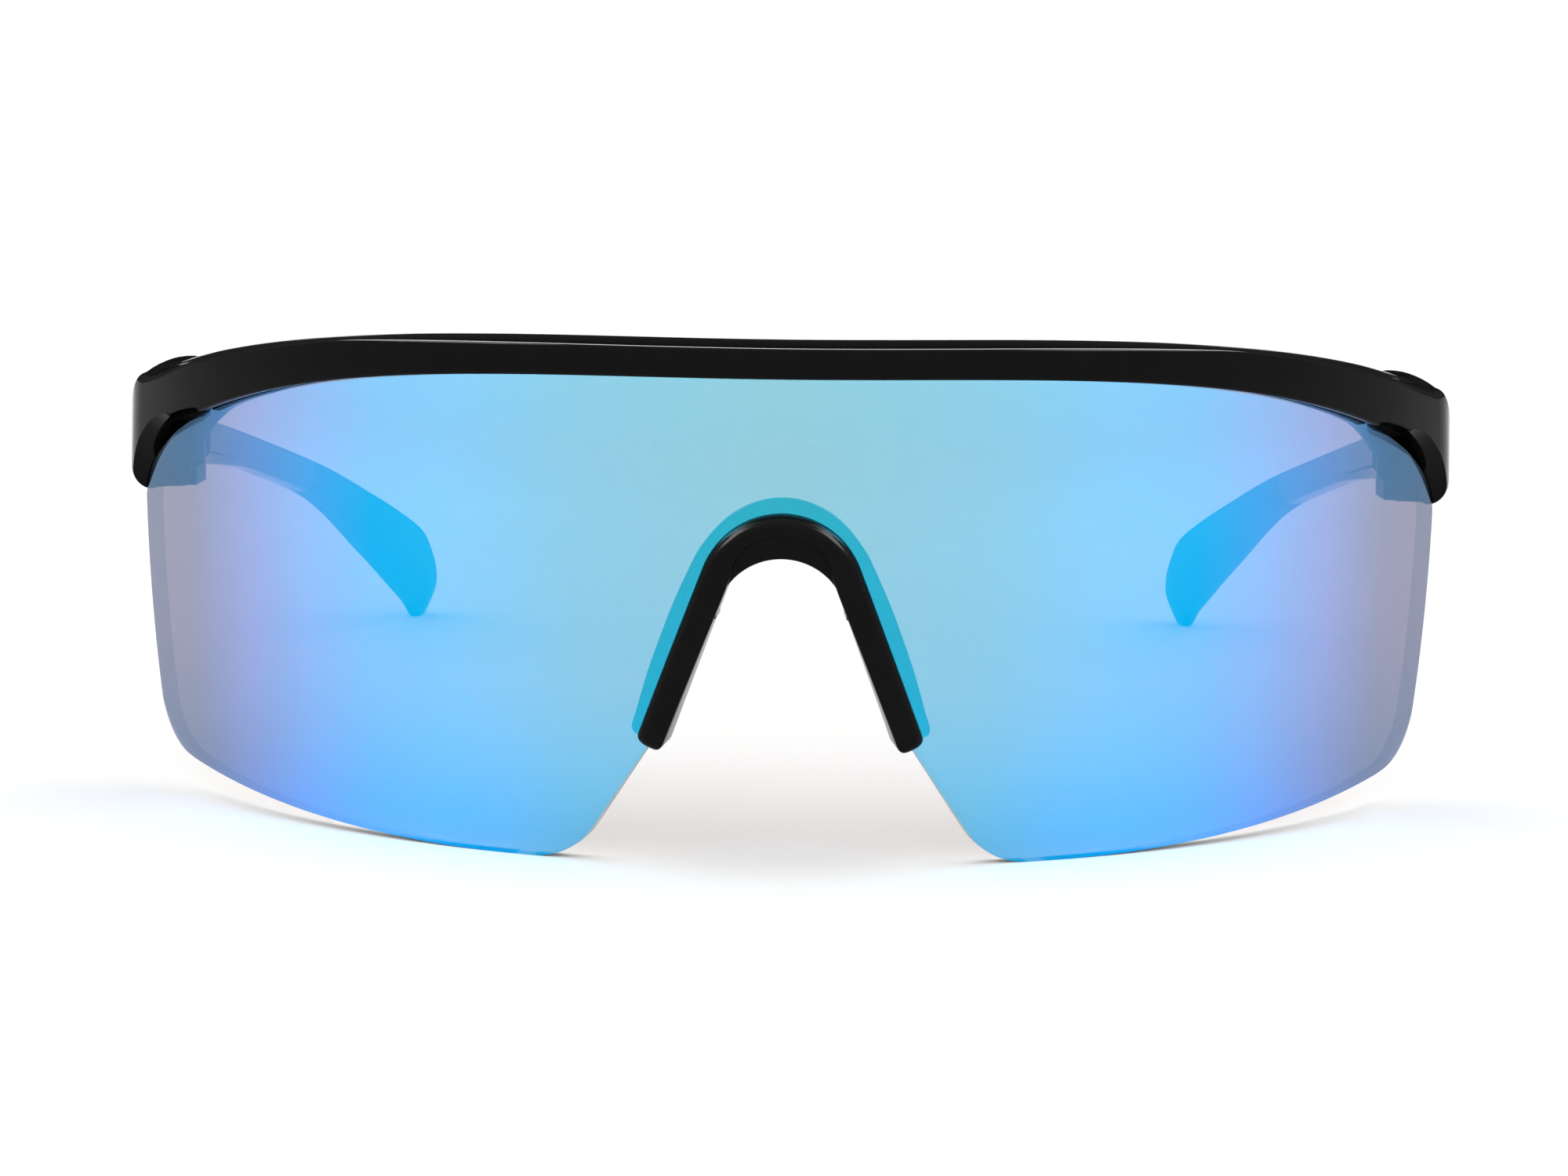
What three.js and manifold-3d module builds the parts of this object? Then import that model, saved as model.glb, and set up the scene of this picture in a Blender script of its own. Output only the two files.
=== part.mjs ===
// Wraparound sport sunglasses: one curved shield lens under a half frame, a saddle nosepiece with two
// soft pads, and two folding temples with rubber tips. The glasses stand as they do on a table, on the
// two lowest points of the lens and on the tips of the open temples.
// Millimetres. +X is the wearer's left, +Y points from the lens back along the temples, +Z is up, and
// z = 0 is the table. Everything is drawn for the left-hand side and mirrored.
import * as THREE from 'three';
import { mergeVertices } from 'three/addons/utils/BufferGeometryUtils.js';
import Module from 'manifold-3d';

const wasm = await Module();
wasm.setup();

// ---------------------------------------------------------------- driving dimensions

const GAP = 0.3; // clearance between neighbouring pieces

// The shield is a sheet bent round a vertical axis and slightly barrelled from top to bottom.
const lens = {
  radius: 85, // front face, seen from above
  barrel: 220, // front face, seen from the side
  waist: 30.8, // height at which the barrel stands furthest forward
  thickness: 2,
  halfWidth: 88.9, // along the curve
  lowestFrom: 26.5, // the flat that touches the table, along the curve
  lowestTo: 30.5,
  sweep: 280, // radius of the gently rising lower edge
  noseCorner: 9, // radius where the nose cut-out meets the lower edge
  outerCorner: 7.5, // radius of the lower outer corner
  sideLean: 2.4, // how far the side leans in on its way down
  sideTop: 33.5, // height at which the side turns into the free upper corner
  cornerBend: 39.5, // height towards which that corner bulges
  tuck: 1.6, // how far the upper edge reaches into the frame
  tuckEnd: 74, // where the upper edge leaves the frame, along the curve
};

// The nose cut-out is an arch on two straight splayed legs.
const nose = {
  top: 37.45, // crown of the cut-out
  splay: THREE.MathUtils.degToRad(21), // of each leg from the vertical
  legHalfGap: 14.35, // half the gap at the legs' feet
  foot: 13.4, // height of the feet
  lipWidth: 3.4, // face of the nosepiece, across the legs
  lipTaper: 0.35, // how much narrower the lip is at the feet
  lipDepth: 1.5, // in front of the lens
  bevel: 0.7, // of the lip's front edges
  flangeDepth: 2.1, // behind the lens
  flangeReach: 1.4, // how far the flange reaches past the lip, away from the nose
  saddleRadius: 7, // of the saddle's arch
  saddleTop: 34.3, // height of its crown
  saddleStep: 0.6, // how far its front lies behind the lip's
};

// The brow bar hugs the top of the lens.
const brow = {
  top: 57.3, // at the centre
  face: 3.7, // height of its front face at the centre
  lip: 1.4, // wall in front of the lens
  wall: 1.9, // wall behind the lens
  topDrop: 7.7, // how much lower its top is at the corners
  corner: 89, // where the corners are, along the curve
  faceDrop: 8.25, // how much lower its lower edge is at the lens's corners
  faceCorner: 74.6, // where those corners are, along the curve
  deepenFrom: 78.5, // where the bar starts to grow into the endpiece, along the curve
  deepenTo: 84.5,
  crescent: 1.1, // widest open slot round the lens's free corner
  crescentEnd: 0.6, // share of the corner's curve at which the slot has closed
  hang: 0.3, // how far the rear wall hangs below the face at the centre
  rearShare: 0.92, // the rear wall rises to the corners' height later, at this share of the curve
  bevel: 3.2, // widest slope down to the lens round its free corner
  bevelGrows: 0.42, // share of the corner's curve over which the slope widens from nothing
  bevelFades: 0.48, // share of that width which is lost again by the curve's end
  edge: 1.0, // rounding of its long edges
};

const endpiece = {
  outer: 75.7, // half the overall width
  inner: 69.4,
  bend: 1.6, // how far the outer face still has to turn out where the tail begins
  innerBend: 3.4, // the same for the inner face
  bottom: 34.4,
  rearTop: 43.4,
  rear: 48.3, // depth of the face the temple closes on
};

const hinge = {
  x: 69.9,
  y: 50.4,
  radius: 2.2, // of the lugs and the knuckle
  bottom: 34.4,
  top: 42.6,
  knuckle: 3.4, // height of the middle leaf
  root: 4.4, // how far the lugs run forward into the endpiece
  leaf: 5, // how far the middle leaf runs back into the temple
  relief: 3.2, // how far behind the axis the temple is cut away, so that it can fold
};

const screw = {
  radius: 0.7,
  headRadius: 1.3,
  headHeight: 0.8,
  headBevel: 0.25,
  slotWidth: 0.35,
  slotDepth: 0.4,
};

const temple = {
  length: 109.4, // from the endpiece to the end of the tip
  innerAtHinge: 67.8, // half the width between the temples
  innerAtTip: 48.9,
  headThickness: 7.5,
  armThickness: 3.6,
  startSlope: 0.05, // inward slope at the hinge
  straightFrom: 112, // depth from which the temple is straight
  headLength: 20, // over which the head thins to the arm
  round: 0.9, // of the long edges
  chamferWidth: 0.55, // of the inner lower edge, as a share of the thickness
  chamferHeight: 0.3, // and of the height
};

const tip = { start: 106, round: 1.2, tongue: 26, tongueThickness: 1.6, tongueHeight: 3.2 };

const pad = { top: 30.2, depth: 6.6, thickness: 2.2, flare: 2.1 };

// ---------------------------------------------------------------- solids and booleans

// A closed mesh becomes a solid once its shared vertices are merged.
function toSolid(geometry) {
  const bare = geometry.clone();
  bare.deleteAttribute('normal');
  bare.deleteAttribute('uv');
  const merged = mergeVertices(bare, 1e-4);
  return new wasm.Manifold(new wasm.Mesh({
    numProp: 3,
    vertProperties: merged.attributes.position.array,
    triVerts: new Uint32Array(merged.index.array),
  }));
}

function toGeometry(solid) {
  const mesh = solid.getMesh();
  const geometry = new THREE.BufferGeometry();
  geometry.setAttribute('position', new THREE.BufferAttribute(mesh.vertProperties, 3));
  geometry.setIndex(new THREE.BufferAttribute(mesh.triVerts, 1));
  return geometry;
}

function join(first, ...others) {
  return toGeometry(others.reduce((sum, other) => sum.add(toSolid(other)), toSolid(first)));
}

function cut(body, ...tools) {
  return toGeometry(tools.reduce((rest, tool) => rest.subtract(toSolid(tool)), toSolid(body)));
}

// Points and triangles as a geometry whose faces look outwards.
function closedGeometry(points, triangles) {
  const volume = triangles.reduce((sum, [a, b, c]) => {
    const cross = new THREE.Vector3().crossVectors(points[b], points[c]);
    return sum + points[a].dot(cross);
  }, 0);
  const order = volume < 0 ? ([a, b, c]) => [a, c, b] : (triangle) => triangle;
  const geometry = new THREE.BufferGeometry().setFromPoints(points);
  geometry.setIndex(triangles.flatMap(order));
  return geometry;
}

// A skin over rings of points, one ring after another, closed by flat caps of the given outline.
function loft(rings, outline) {
  const count = rings[0].length;
  const triangles = [];
  for (let i = 0; i + 1 < rings.length; i++) {
    for (let j = 0; j < count; j++) {
      const a = i * count + j;
      const b = i * count + ((j + 1) % count);
      triangles.push([a, b, b + count], [a, b + count, a + count]);
    }
  }
  const last = (rings.length - 1) * count;
  const clockwise = THREE.ShapeUtils.isClockWise(outline);
  for (const face of THREE.ShapeUtils.triangulateShape(outline, [])) {
    const [a, b, c] = clockwise ? [...face].reverse() : face;
    triangles.push([c, b, a], [last + a, last + b, last + c]);
  }
  return closedGeometry(rings.flat(), triangles);
}

// The same solid on the other side of the glasses.
function mirrored(geometry) {
  const copy = geometry.clone().applyMatrix4(new THREE.Matrix4().makeScale(-1, 1, 1));
  const index = copy.index.array;
  for (let i = 0; i < index.length; i += 3) {
    [index[i + 1], index[i + 2]] = [index[i + 2], index[i + 1]];
  }
  return copy;
}

// An upright cylinder on the hinge axis.
function hingePost(radius, from, to, sides = 32) {
  const post = new THREE.CylinderGeometry(radius, radius, to - from, sides);
  return post.rotateX(Math.PI / 2).translate(hinge.x, hinge.y, (from + to) / 2);
}

function plate(outline, from, to) {
  const shape = new THREE.Shape(outline.map(([x, y]) => new THREE.Vector2(x, y)));
  return new THREE.ExtrudeGeometry(shape, { depth: to - from, bevelEnabled: false }).translate(0, 0, from);
}

// A rectangle with rounded corners as a list of points, counter-clockwise from its lower right.
function roundedOutline(left, right, bottom, top, radius, steps = 3) {
  const corners = [[right - radius, bottom + radius, -90], [right - radius, top - radius, 0],
    [left + radius, top - radius, 90], [left + radius, bottom + radius, 180]];
  return corners.flatMap(([x, y, from]) => Array.from({ length: steps + 1 }, (_, i) => {
    const angle = THREE.MathUtils.degToRad(from + (90 * i) / steps);
    return new THREE.Vector2(x + radius * Math.cos(angle), y + radius * Math.sin(angle));
  }));
}

function rectangle(left, right, bottom, top) {
  const corners = [[left, bottom], [right, bottom], [right, top], [left, top]];
  return corners.map(([x, y]) => new THREE.Vector2(x, y));
}

const lerp = THREE.MathUtils.lerp;
const smooth = THREE.MathUtils.smoothstep;

// Even steps from a to b, both ends included.
function steps(a, b, count) {
  return Array.from({ length: count + 1 }, (_, i) => lerp(a, b, i / count));
}

// ---------------------------------------------------------------- the shield's surface

// How far the barrel has fallen back at a height.
const fallBack = (z) => (z - lens.waist) ** 2 / (2 * lens.barrel);

// A point u along the shield from its centre, at height z, `out` in front of the front face.
function onShield(u, z, out) {
  const angle = u / lens.radius;
  const radius = lens.radius + out - fallBack(z);
  return new THREE.Vector3(radius * Math.sin(angle), lens.radius - radius * Math.cos(angle), z);
}

// A slab of the shield between a lower and an upper rail, which pair off point by point.
function shieldSlab(lower, upper, front, back, rows) {
  const points = [];
  for (const out of [front, back]) {
    lower.forEach((low, i) => steps(0, 1, rows).forEach((t) => {
      const place = low.clone().lerp(upper[i], t);
      points.push(onShield(place.x, place.y, out));
    }));
  }
  const width = rows + 1;
  const backStart = lower.length * width;
  const triangles = [];
  const quad = (a, b, c, d) => triangles.push([a, b, c], [a, c, d]);
  for (let i = 0; i + 1 < lower.length; i++) {
    const a = i * width;
    const b = a + width;
    for (let j = 0; j < rows; j++) {
      quad(a + j, b + j, b + j + 1, a + j + 1);
      quad(backStart + a + j, backStart + a + j + 1, backStart + b + j + 1, backStart + b + j);
    }
    quad(a, backStart + a, backStart + b, b);
    quad(a + rows, b + rows, backStart + b + rows, backStart + a + rows);
  }
  for (const [start, flip] of [[0, false], [(lower.length - 1) * width, true]]) {
    for (let j = 0; j < rows; j++) {
      const side = [start + j, start + j + 1, backStart + start + j + 1, backStart + start + j];
      quad(...(flip ? side.reverse() : side));
    }
  }
  return closedGeometry(points, triangles);
}

// Where the brow bar's lower edge crosses the lens, and where its top is, along the curve.
const browLower = (u) => brow.top - brow.face - brow.faceDrop * (Math.abs(u) / brow.faceCorner) ** 3.3;
const browTop = (u) => brow.top - brow.topDrop * (Math.abs(u) / brow.corner) ** 3.1;

// The centre line of the nosepiece, which is also the edge of the lens's nose cut-out: half of it, from
// the crown to a foot. The arch's radius makes the leg its tangent.
const legNormal = new THREE.Vector2(Math.cos(nose.splay), Math.sin(nose.splay));
const legFoot = new THREE.Vector2(nose.legHalfGap, nose.foot);
const archCentre = (legNormal.dot(legFoot) - nose.top) / (legNormal.y - 1);
const archRadius = nose.top - archCentre;

function noseLine(archSteps, legSteps) {
  const arch = steps(0, Math.PI / 2 - nose.splay, archSteps).map((angle) => new THREE.Vector2(
    archRadius * Math.sin(angle), archCentre + archRadius * Math.cos(angle)));
  const start = arch[arch.length - 1];
  return [...arch, ...steps(0, 1, legSteps).slice(1).map((t) => start.clone().lerp(legFoot, t))];
}

// A round corner between two straight edges that meet at `at`.
function fillet(from, at, to, radius, count) {
  const a = from.clone().sub(at).normalize();
  const b = to.clone().sub(at).normalize();
  const half = Math.acos(THREE.MathUtils.clamp(a.dot(b), -1, 1)) / 2;
  const centre = at.clone().addScaledVector(a.clone().add(b).normalize(), radius / Math.sin(half));
  const start = at.clone().addScaledVector(a, radius / Math.tan(half)).sub(centre);
  const turn = Math.sign(start.cross(b)) * (Math.PI - 2 * half);
  const pivot = new THREE.Vector2();
  return steps(0, turn, count).map((angle) => start.clone().rotateAround(pivot, angle).add(centre));
}

// The lower edge of the left half, from the crown of the cut-out to the start of the outer side.
function lowerRail() {
  const rise = (u) => Math.max(0, u - lens.lowestTo) ** 2 / (2 * lens.sweep);
  const inner = new THREE.Vector2(lens.lowestFrom - 3, 0);
  const outerU = lens.halfWidth - lens.sideLean;
  const outer = new THREE.Vector2(outerU, rise(outerU));
  const sideTop = new THREE.Vector2(lens.halfWidth, lens.sideTop);
  const beforeOuter = new THREE.Vector2(outerU - 10, rise(outerU - 10));
  const nearFlat = new THREE.Vector2(lens.lowestTo, 0);
  const innerCorner = fillet(legFoot, inner, nearFlat, lens.noseCorner, 6);
  const outerCorner = fillet(beforeOuter, outer, sideTop, lens.outerCorner, 8);
  const sweepFrom = lens.lowestTo + 2;
  const sweep = steps(sweepFrom, outerCorner[0].x - 2, 18).map((u) => new THREE.Vector2(u, rise(u)));
  return [...noseLine(9, 7), ...innerCorner, nearFlat, ...sweep, ...outerCorner];
}

// The free corner of the lens, where its upper edge has left the frame and runs round to the side.
function cornerCurve() {
  const top = new THREE.Vector2(lens.tuckEnd + 0.3, browLower(lens.tuckEnd) - 0.2);
  const side = new THREE.Vector2(lens.halfWidth, lens.sideTop);
  const bend = new THREE.Vector2(lens.halfWidth, lens.cornerBend);
  return new THREE.QuadraticBezierCurve(top, bend, side);
}

// The upper edge of the left half. Its points stand over those of the lower edge up to the free corner.
function upperRail(lower) {
  const corner = cornerCurve();
  const tucked = lower.filter((point) => point.x < lens.tuckEnd - 0.2);
  const free = lower.length - tucked.length - 1;
  return [
    ...tucked.map((point) => new THREE.Vector2(point.x, browLower(point.x) + lens.tuck)),
    new THREE.Vector2(lens.tuckEnd, browLower(lens.tuckEnd) + lens.tuck),
    ...steps(0, 1, free - 1).map((t) => corner.getPoint(t)),
  ];
}

// The direction to the left of a line at one of its points. A line that starts on the plane of symmetry
// crosses it squarely.
function sideways(line, i) {
  if (line[i].x === 0) return new THREE.Vector2(0, 1);
  const ahead = line[Math.min(i + 1, line.length - 1)];
  const behind = line[Math.max(i - 1, 0)];
  const along = ahead.clone().sub(behind).normalize();
  return new THREE.Vector2(-along.y, along.x);
}

// Moves a line to its left by a distance that may vary along it.
function offsetRail(rail, distance) {
  return rail.map((point, i) => point.clone().addScaledVector(sideways(rail, i), distance(i)));
}

// The whole of a rail, or of a row of rings, that is given from the plane of symmetry outwards.
function bothHalves(rail) {
  return [...rail.slice(1).reverse().map((p) => new THREE.Vector2(-p.x, p.y)), ...rail];
}

function bothHalvesOfRings(rings) {
  const otherSide = rings.slice(1).reverse();
  return [...otherSide.map((ring) => ring.map((p) => new THREE.Vector3(-p.x, p.y, p.z))), ...rings];
}

function lensGeometry() {
  const lower = lowerRail();
  return shieldSlab(bothHalves(lower), bothHalves(upperRail(lower)), 0, -lens.thickness, 6);
}

// ---------------------------------------------------------------- the frame

// The room the lens needs in the frame, grown by the gap all round.
function lensRoom() {
  const upper = upperRail(lowerRail());
  const grown = offsetRail(upper, () => GAP);
  const lower = grown.map((p) => new THREE.Vector2(p.x * 0.98, 25));
  return shieldSlab(bothHalves(lower), bothHalves(grown), GAP, -lens.thickness - GAP, 2);
}

// The room round the lens's free corner, open to the front. Its first part widens to a crescent slot.
function cornerRelief() {
  const count = 12;
  const places = steps(0, 1, count);
  const edge = places.map((t) => cornerCurve().getPoint(t));
  const slotAt = (i) => Math.sin(Math.PI * Math.min(1, i / (count * brow.crescentEnd))) ** 0.7;
  const upper = offsetRail(edge, (i) => GAP + brow.crescent * slotAt(i));
  const lower = upper.map((p) => new THREE.Vector2(p.x, 20));
  const room = shieldSlab(lower, upper, 6, -lens.thickness - GAP, 2);
  return join(room, loft(ringsAlong(edge, (i) => cornerBevel(places[i])), rectangle(0, 1, 0, 1)));
}

// The section of the frame's slope round that corner: it leaves the lens's front face at a flat angle.
function cornerBevel(place) {
  const width = brow.bevel * smooth(place, 0, brow.bevelGrows) * (1 - brow.bevelFades * place);
  const reach = GAP + width;
  const front = brow.lip + 2 * GAP;
  return [[-1, -0.1], [GAP - 0.1, -0.1], [reach, front], [-1, front]].map(([x, y]) => new THREE.Vector2(x, y));
}

// The left half of the bar seen from above: pairs of points on its outer and inner faces.
function browPlan() {
  const outerRadius = lens.radius + GAP + brow.lip;
  const innerRadius = lens.radius - lens.thickness - GAP - brow.wall;
  const onCircle = (radius, angle) => new THREE.Vector2(
    radius * Math.sin(angle), lens.radius - radius * Math.cos(angle));
  const turnOuter = Math.asin((endpiece.outer - endpiece.bend) / outerRadius);
  const turnInner = Math.asin((endpiece.inner - endpiece.innerBend) / innerRadius);
  const tail = (radius, angle, x) => {
    const start = onCircle(radius, angle);
    const bend = new THREE.Vector2(x, start.y + (x - start.x) * Math.tan(angle));
    const end = new THREE.Vector2(x, endpiece.rear);
    bend.y = Math.min(bend.y, endpiece.rear - 1);
    return new THREE.QuadraticBezierCurve(start, bend, new THREE.Vector2(x, lerp(bend.y, end.y, 0.7)));
  };
  const outerTail = tail(outerRadius, turnOuter, endpiece.outer);
  const innerTail = tail(innerRadius, turnInner, endpiece.inner);
  const front = steps(0, 1, 30).map((t) => ({
    u: t * lens.radius * turnOuter,
    outer: onCircle(outerRadius, t * turnOuter),
    inner: onCircle(innerRadius, t * turnInner),
    back: 0,
  }));
  const bend = steps(0, 1, 8).slice(1).map((t) => ({
    u: lens.radius * turnOuter,
    outer: outerTail.getPoint(t),
    inner: innerTail.getPoint(t),
    back: t * 0.8,
  }));
  const rear = {
    u: lens.radius * turnOuter,
    outer: new THREE.Vector2(endpiece.outer, endpiece.rear),
    inner: new THREE.Vector2(endpiece.inner, endpiece.rear),
    back: 1,
  };
  return [...front, ...bend, rear];
}

// The heights between which the bar stands at a place of its plan. The outer face grows down into the
// endpiece along the curve, the rear wall only where it has turned back.
function browHeights({ u, back }) {
  const drop = smooth(u, brow.deepenFrom, brow.deepenTo);
  return {
    bottom: lerp(browLower(u), endpiece.bottom, drop),
    rearBottom: lerp(browLower(u * brow.rearShare) - brow.hang, endpiece.bottom, smooth(back, 0, 0.6)),
    top: lerp(browTop(u), endpiece.rearTop, smooth(back, 0.2, 1)),
  };
}

function browRing(place) {
  const { bottom, rearBottom, top } = browHeights(place);
  const across = place.outer.clone().sub(place.inner);
  const width = across.length();
  const normal = across.normalize();
  return roundedOutline(0, width, bottom, top, brow.edge).map(({ x, y }) => {
    const depth = (top - y) / (top - bottom);
    const z = y + (rearBottom - bottom) * depth * (1 - x / width);
    const reach = x - fallBack(z) * (1 - place.back);
    return new THREE.Vector3(place.inner.x + normal.x * reach, place.inner.y + normal.y * reach, z);
  });
}

// The two lugs between which the temple's knuckle turns.
function frameLugs() {
  const { x, y, radius, root: depth } = hinge;
  const inner = x - 0.75 * radius;
  const root = [[inner, y - depth], [x + radius, y - depth], [x + radius, y], [x - radius, y]];
  return hingeStack().lugs.map(([from, to]) => join(plate(root, from, to), hingePost(radius, from, to)));
}

// The heights of the lugs and of the knuckle between them.
function hingeStack() {
  const middle = (hinge.bottom + hinge.top) / 2;
  const low = middle - hinge.knuckle / 2;
  const high = middle + hinge.knuckle / 2;
  return { knuckle: [low, high], lugs: [[hinge.bottom, low - GAP], [high + GAP, hinge.top]] };
}

function browGeometry() {
  const bar = loft(bothHalvesOfRings(browPlan().map(browRing)), roundedOutline(0, 1, 0, 1, 0.2));
  const relief = cornerRelief();
  const lugs = frameLugs();
  const [low, high] = hingeStack().knuckle;
  const turning = hingePost(hinge.radius + GAP, low - GAP, high + GAP);
  const bore = hingePost(screw.radius + GAP, hinge.bottom - 1, hinge.top + 1);
  const headSeat = hingePost(screw.headRadius + GAP, hinge.top - screw.headHeight / 2, hinge.top + 2);
  const cuts = [turning, bore, headSeat];
  const joined = join(bar, ...lugs, ...lugs.map(mirrored));
  return cut(joined, lensRoom(), relief, mirrored(relief), ...cuts, ...cuts.map(mirrored));
}

// ---------------------------------------------------------------- the nosepiece

// The nosepiece's section at a place of its line: a channel that grips the lens's edge. x is across the
// leg, away from the nose, and y is in front of the lens.
function channelOutline(width) {
  const half = width / 2;
  const front = nose.lipDepth + GAP;
  const rear = -lens.thickness - GAP;
  const back = rear - nose.flangeDepth;
  const flange = half + nose.flangeReach;
  const { bevel } = nose;
  const lip = [[-half, front - bevel], [-half + bevel, front], [half - bevel, front], [half, front - bevel]];
  const points = [...lip, [half, GAP], [-GAP, GAP], [-GAP, rear], [flange, rear], [flange, rear - bevel],
    [flange - bevel, back], [-half + bevel, back], [-half, back + bevel]];
  return points.map(([x, y]) => new THREE.Vector2(x, y));
}

// Rings of a section carried along a line on the shield. x is to the left of the line, y in front.
function ringsAlong(line, sectionAt) {
  return line.map((point, i) => {
    const side = sideways(line, i);
    return sectionAt(i).map(({ x, y }) => onShield(point.x + side.x * x, point.y + side.y * x, y));
  });
}

function bridgeGeometry() {
  const line = bothHalves(noseLine(9, 8));
  const middle = (line.length - 1) / 2;
  const widthAt = (i) => nose.lipWidth - nose.lipTaper * Math.abs(i - middle) / middle;
  const channel = loft(ringsAlong(line, (i) => channelOutline(widthAt(i))), channelOutline(nose.lipWidth));
  return join(channel, saddleGeometry());
}

// The saddle: a wider arch that hangs in the crown behind the lip and rests on the nose. Its lower side
// is a circle, and it ends where that circle has run into the legs.
function saddleGeometry() {
  const centre = new THREE.Vector2(0, nose.saddleTop - nose.saddleRadius);
  const full = noseLine(9, 8);
  const reachAt = (i) => {
    const away = full[i].clone().sub(centre);
    const inward = away.dot(sideways(full, i));
    return inward - Math.sqrt(inward ** 2 - away.lengthSq() + nose.saddleRadius ** 2);
  };
  const line = full.filter((point, i) => reachAt(i) > nose.lipWidth / 2);
  const outer = -nose.lipWidth / 4;
  const front = nose.lipDepth - nose.saddleStep;
  const back = -lens.thickness - nose.flangeDepth;
  const rings = ringsAlong(line, (i) => rectangle(-reachAt(i), outer, back, front));
  return loft(bothHalvesOfRings(rings), rectangle(0, 1, 0, 1));
}

// The soft pad behind a leg: a blade that flares outwards as it goes back.
function padGeometry() {
  const full = noseLine(9, 24);
  const line = full.filter((point) => point.y < pad.top);
  const front = -lens.thickness - 2 * GAP - nose.flangeDepth;
  const count = line.length - 1;
  const outlineAt = (i) => {
    const swell = Math.sin(Math.PI * (0.12 + 0.8 * (i / count))) ** 0.5;
    const depth = pad.depth * swell;
    const half = pad.thickness / 2;
    const lean = pad.flare * (depth / pad.depth);
    return [[-half - 0.3, front], [-half - 0.1 + lean * 0.5, front - depth * 0.5],
      [-half * 0.5 + lean, front - depth], [half * 0.6 + lean, front - depth + 0.2],
      [half + lean * 0.6, front - depth * 0.5], [half + 0.3, front]]
      .map(([x, y]) => new THREE.Vector2(x, y));
  };
  return loft(ringsAlong(line, outlineAt), outlineAt(count));
}

// ---------------------------------------------------------------- the temples

// A smooth curve through a few points, read as height against depth.
function profile(points) {
  const dense = new THREE.SplineCurve(points.map(([y, z]) => new THREE.Vector2(y, z))).getPoints(240);
  return (y) => {
    const next = dense.findIndex((point) => point.x > y);
    if (next === 0) return dense[0].y;
    if (next < 0) return dense[dense.length - 1].y;
    const [a, b] = [dense[next - 1], dense[next]];
    return lerp(a.y, b.y, (y - a.x) / (b.x - a.x));
  };
}

const templeStart = endpiece.rear + GAP;
const templeEnd = templeStart + temple.length;

// The temple's upper and lower edges seen from the side, as shares of its length and heights.
const along = (share) => lerp(templeStart, templeEnd, share);
const upperEdge = profile([[along(0), 42.4], [along(0.04), 41.3], [along(0.27), 35.7], [along(0.54), 28],
  [along(0.75), 20.4], [along(0.86), 16.1], [along(0.935), 12.7], [along(0.97), 9.6], [along(1), 5.5]]);
const lowerEdge = profile([[along(0), 34.1], [along(0.02), 33.6], [along(0.055), 35.3], [along(0.22), 32.7],
  [along(0.36), 29.4], [along(0.58), 22.4], [along(0.785), 11.5], [along(0.9), 5], [along(0.95), 2.1],
  [along(0.97), 0.5], [along(0.985), -0.6], [along(1), 0.2]]);

// The inner face seen from above: it leans in more and more, then runs straight to the tip.
function templeInner(y) {
  const run = temple.straightFrom - templeStart;
  const rest = templeEnd - temple.straightFrom;
  const fall = temple.innerAtHinge - temple.innerAtTip - (temple.startSlope * run) / 2;
  const endSlope = fall / (run / 2 + rest);
  const t = Math.min(y - templeStart, run);
  const bent = temple.startSlope * t + ((endSlope - temple.startSlope) * t * t) / (2 * run);
  return temple.innerAtHinge - bent - endSlope * Math.max(0, y - temple.straightFrom);
}

function templeThickness(y) {
  const thinned = smooth(y, templeStart, templeStart + temple.headLength);
  return lerp(temple.headThickness, temple.armThickness, thinned);
}

// The outline of the temple at a depth: round above, with a broad chamfer below on the inner side. It
// is cut off at the table, which leaves the tip a small flat to stand on.
function templeOutline(y, shrink = 0) {
  const inner = templeInner(y) + shrink;
  const outer = inner + templeThickness(y) - 2 * shrink;
  const top = upperEdge(y) - shrink;
  const bottom = Math.max(0, lowerEdge(y) + shrink);
  const height = top - bottom;
  const round = Math.min(temple.round, height / 4);
  const chamfer = Math.min(temple.chamferWidth * (outer - inner), temple.chamferHeight * height);
  return [[inner + chamfer, bottom], [outer - round, bottom], [outer, bottom + round],
    [outer, top - round], [outer - round * 0.3, top - round * 0.3], [outer - round, top],
    [inner + round, top], [inner + round * 0.3, top - round * 0.3], [inner, top - round],
    [inner, bottom + chamfer]];
}

function templeRing(y, shrink = 0) {
  return templeOutline(y, shrink).map(([x, z]) => new THREE.Vector3(x, y, z));
}

function templeCap(y) {
  return templeOutline(y).map(([x, z]) => new THREE.Vector2(x, z));
}

// The tongue that the temple carries into its tip, grown on every side by `grow`.
function tongueGeometry(grow) {
  const ring = (y) => {
    const middle = templeInner(y) + templeThickness(y) / 2;
    const height = (upperEdge(y) + lowerEdge(y)) / 2;
    const halfX = tip.tongueThickness / 2 + grow;
    const halfZ = tip.tongueHeight / 2 + grow;
    return rectangle(middle - halfX, middle + halfX, height - halfZ, height + halfZ)
      .map(({ x, y: z }) => new THREE.Vector3(x, y, z));
  };
  return loft(steps(tip.start - 1, tip.start + tip.tongue + grow, 8).map(ring), rectangle(0, 1, 0, 1));
}

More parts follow.
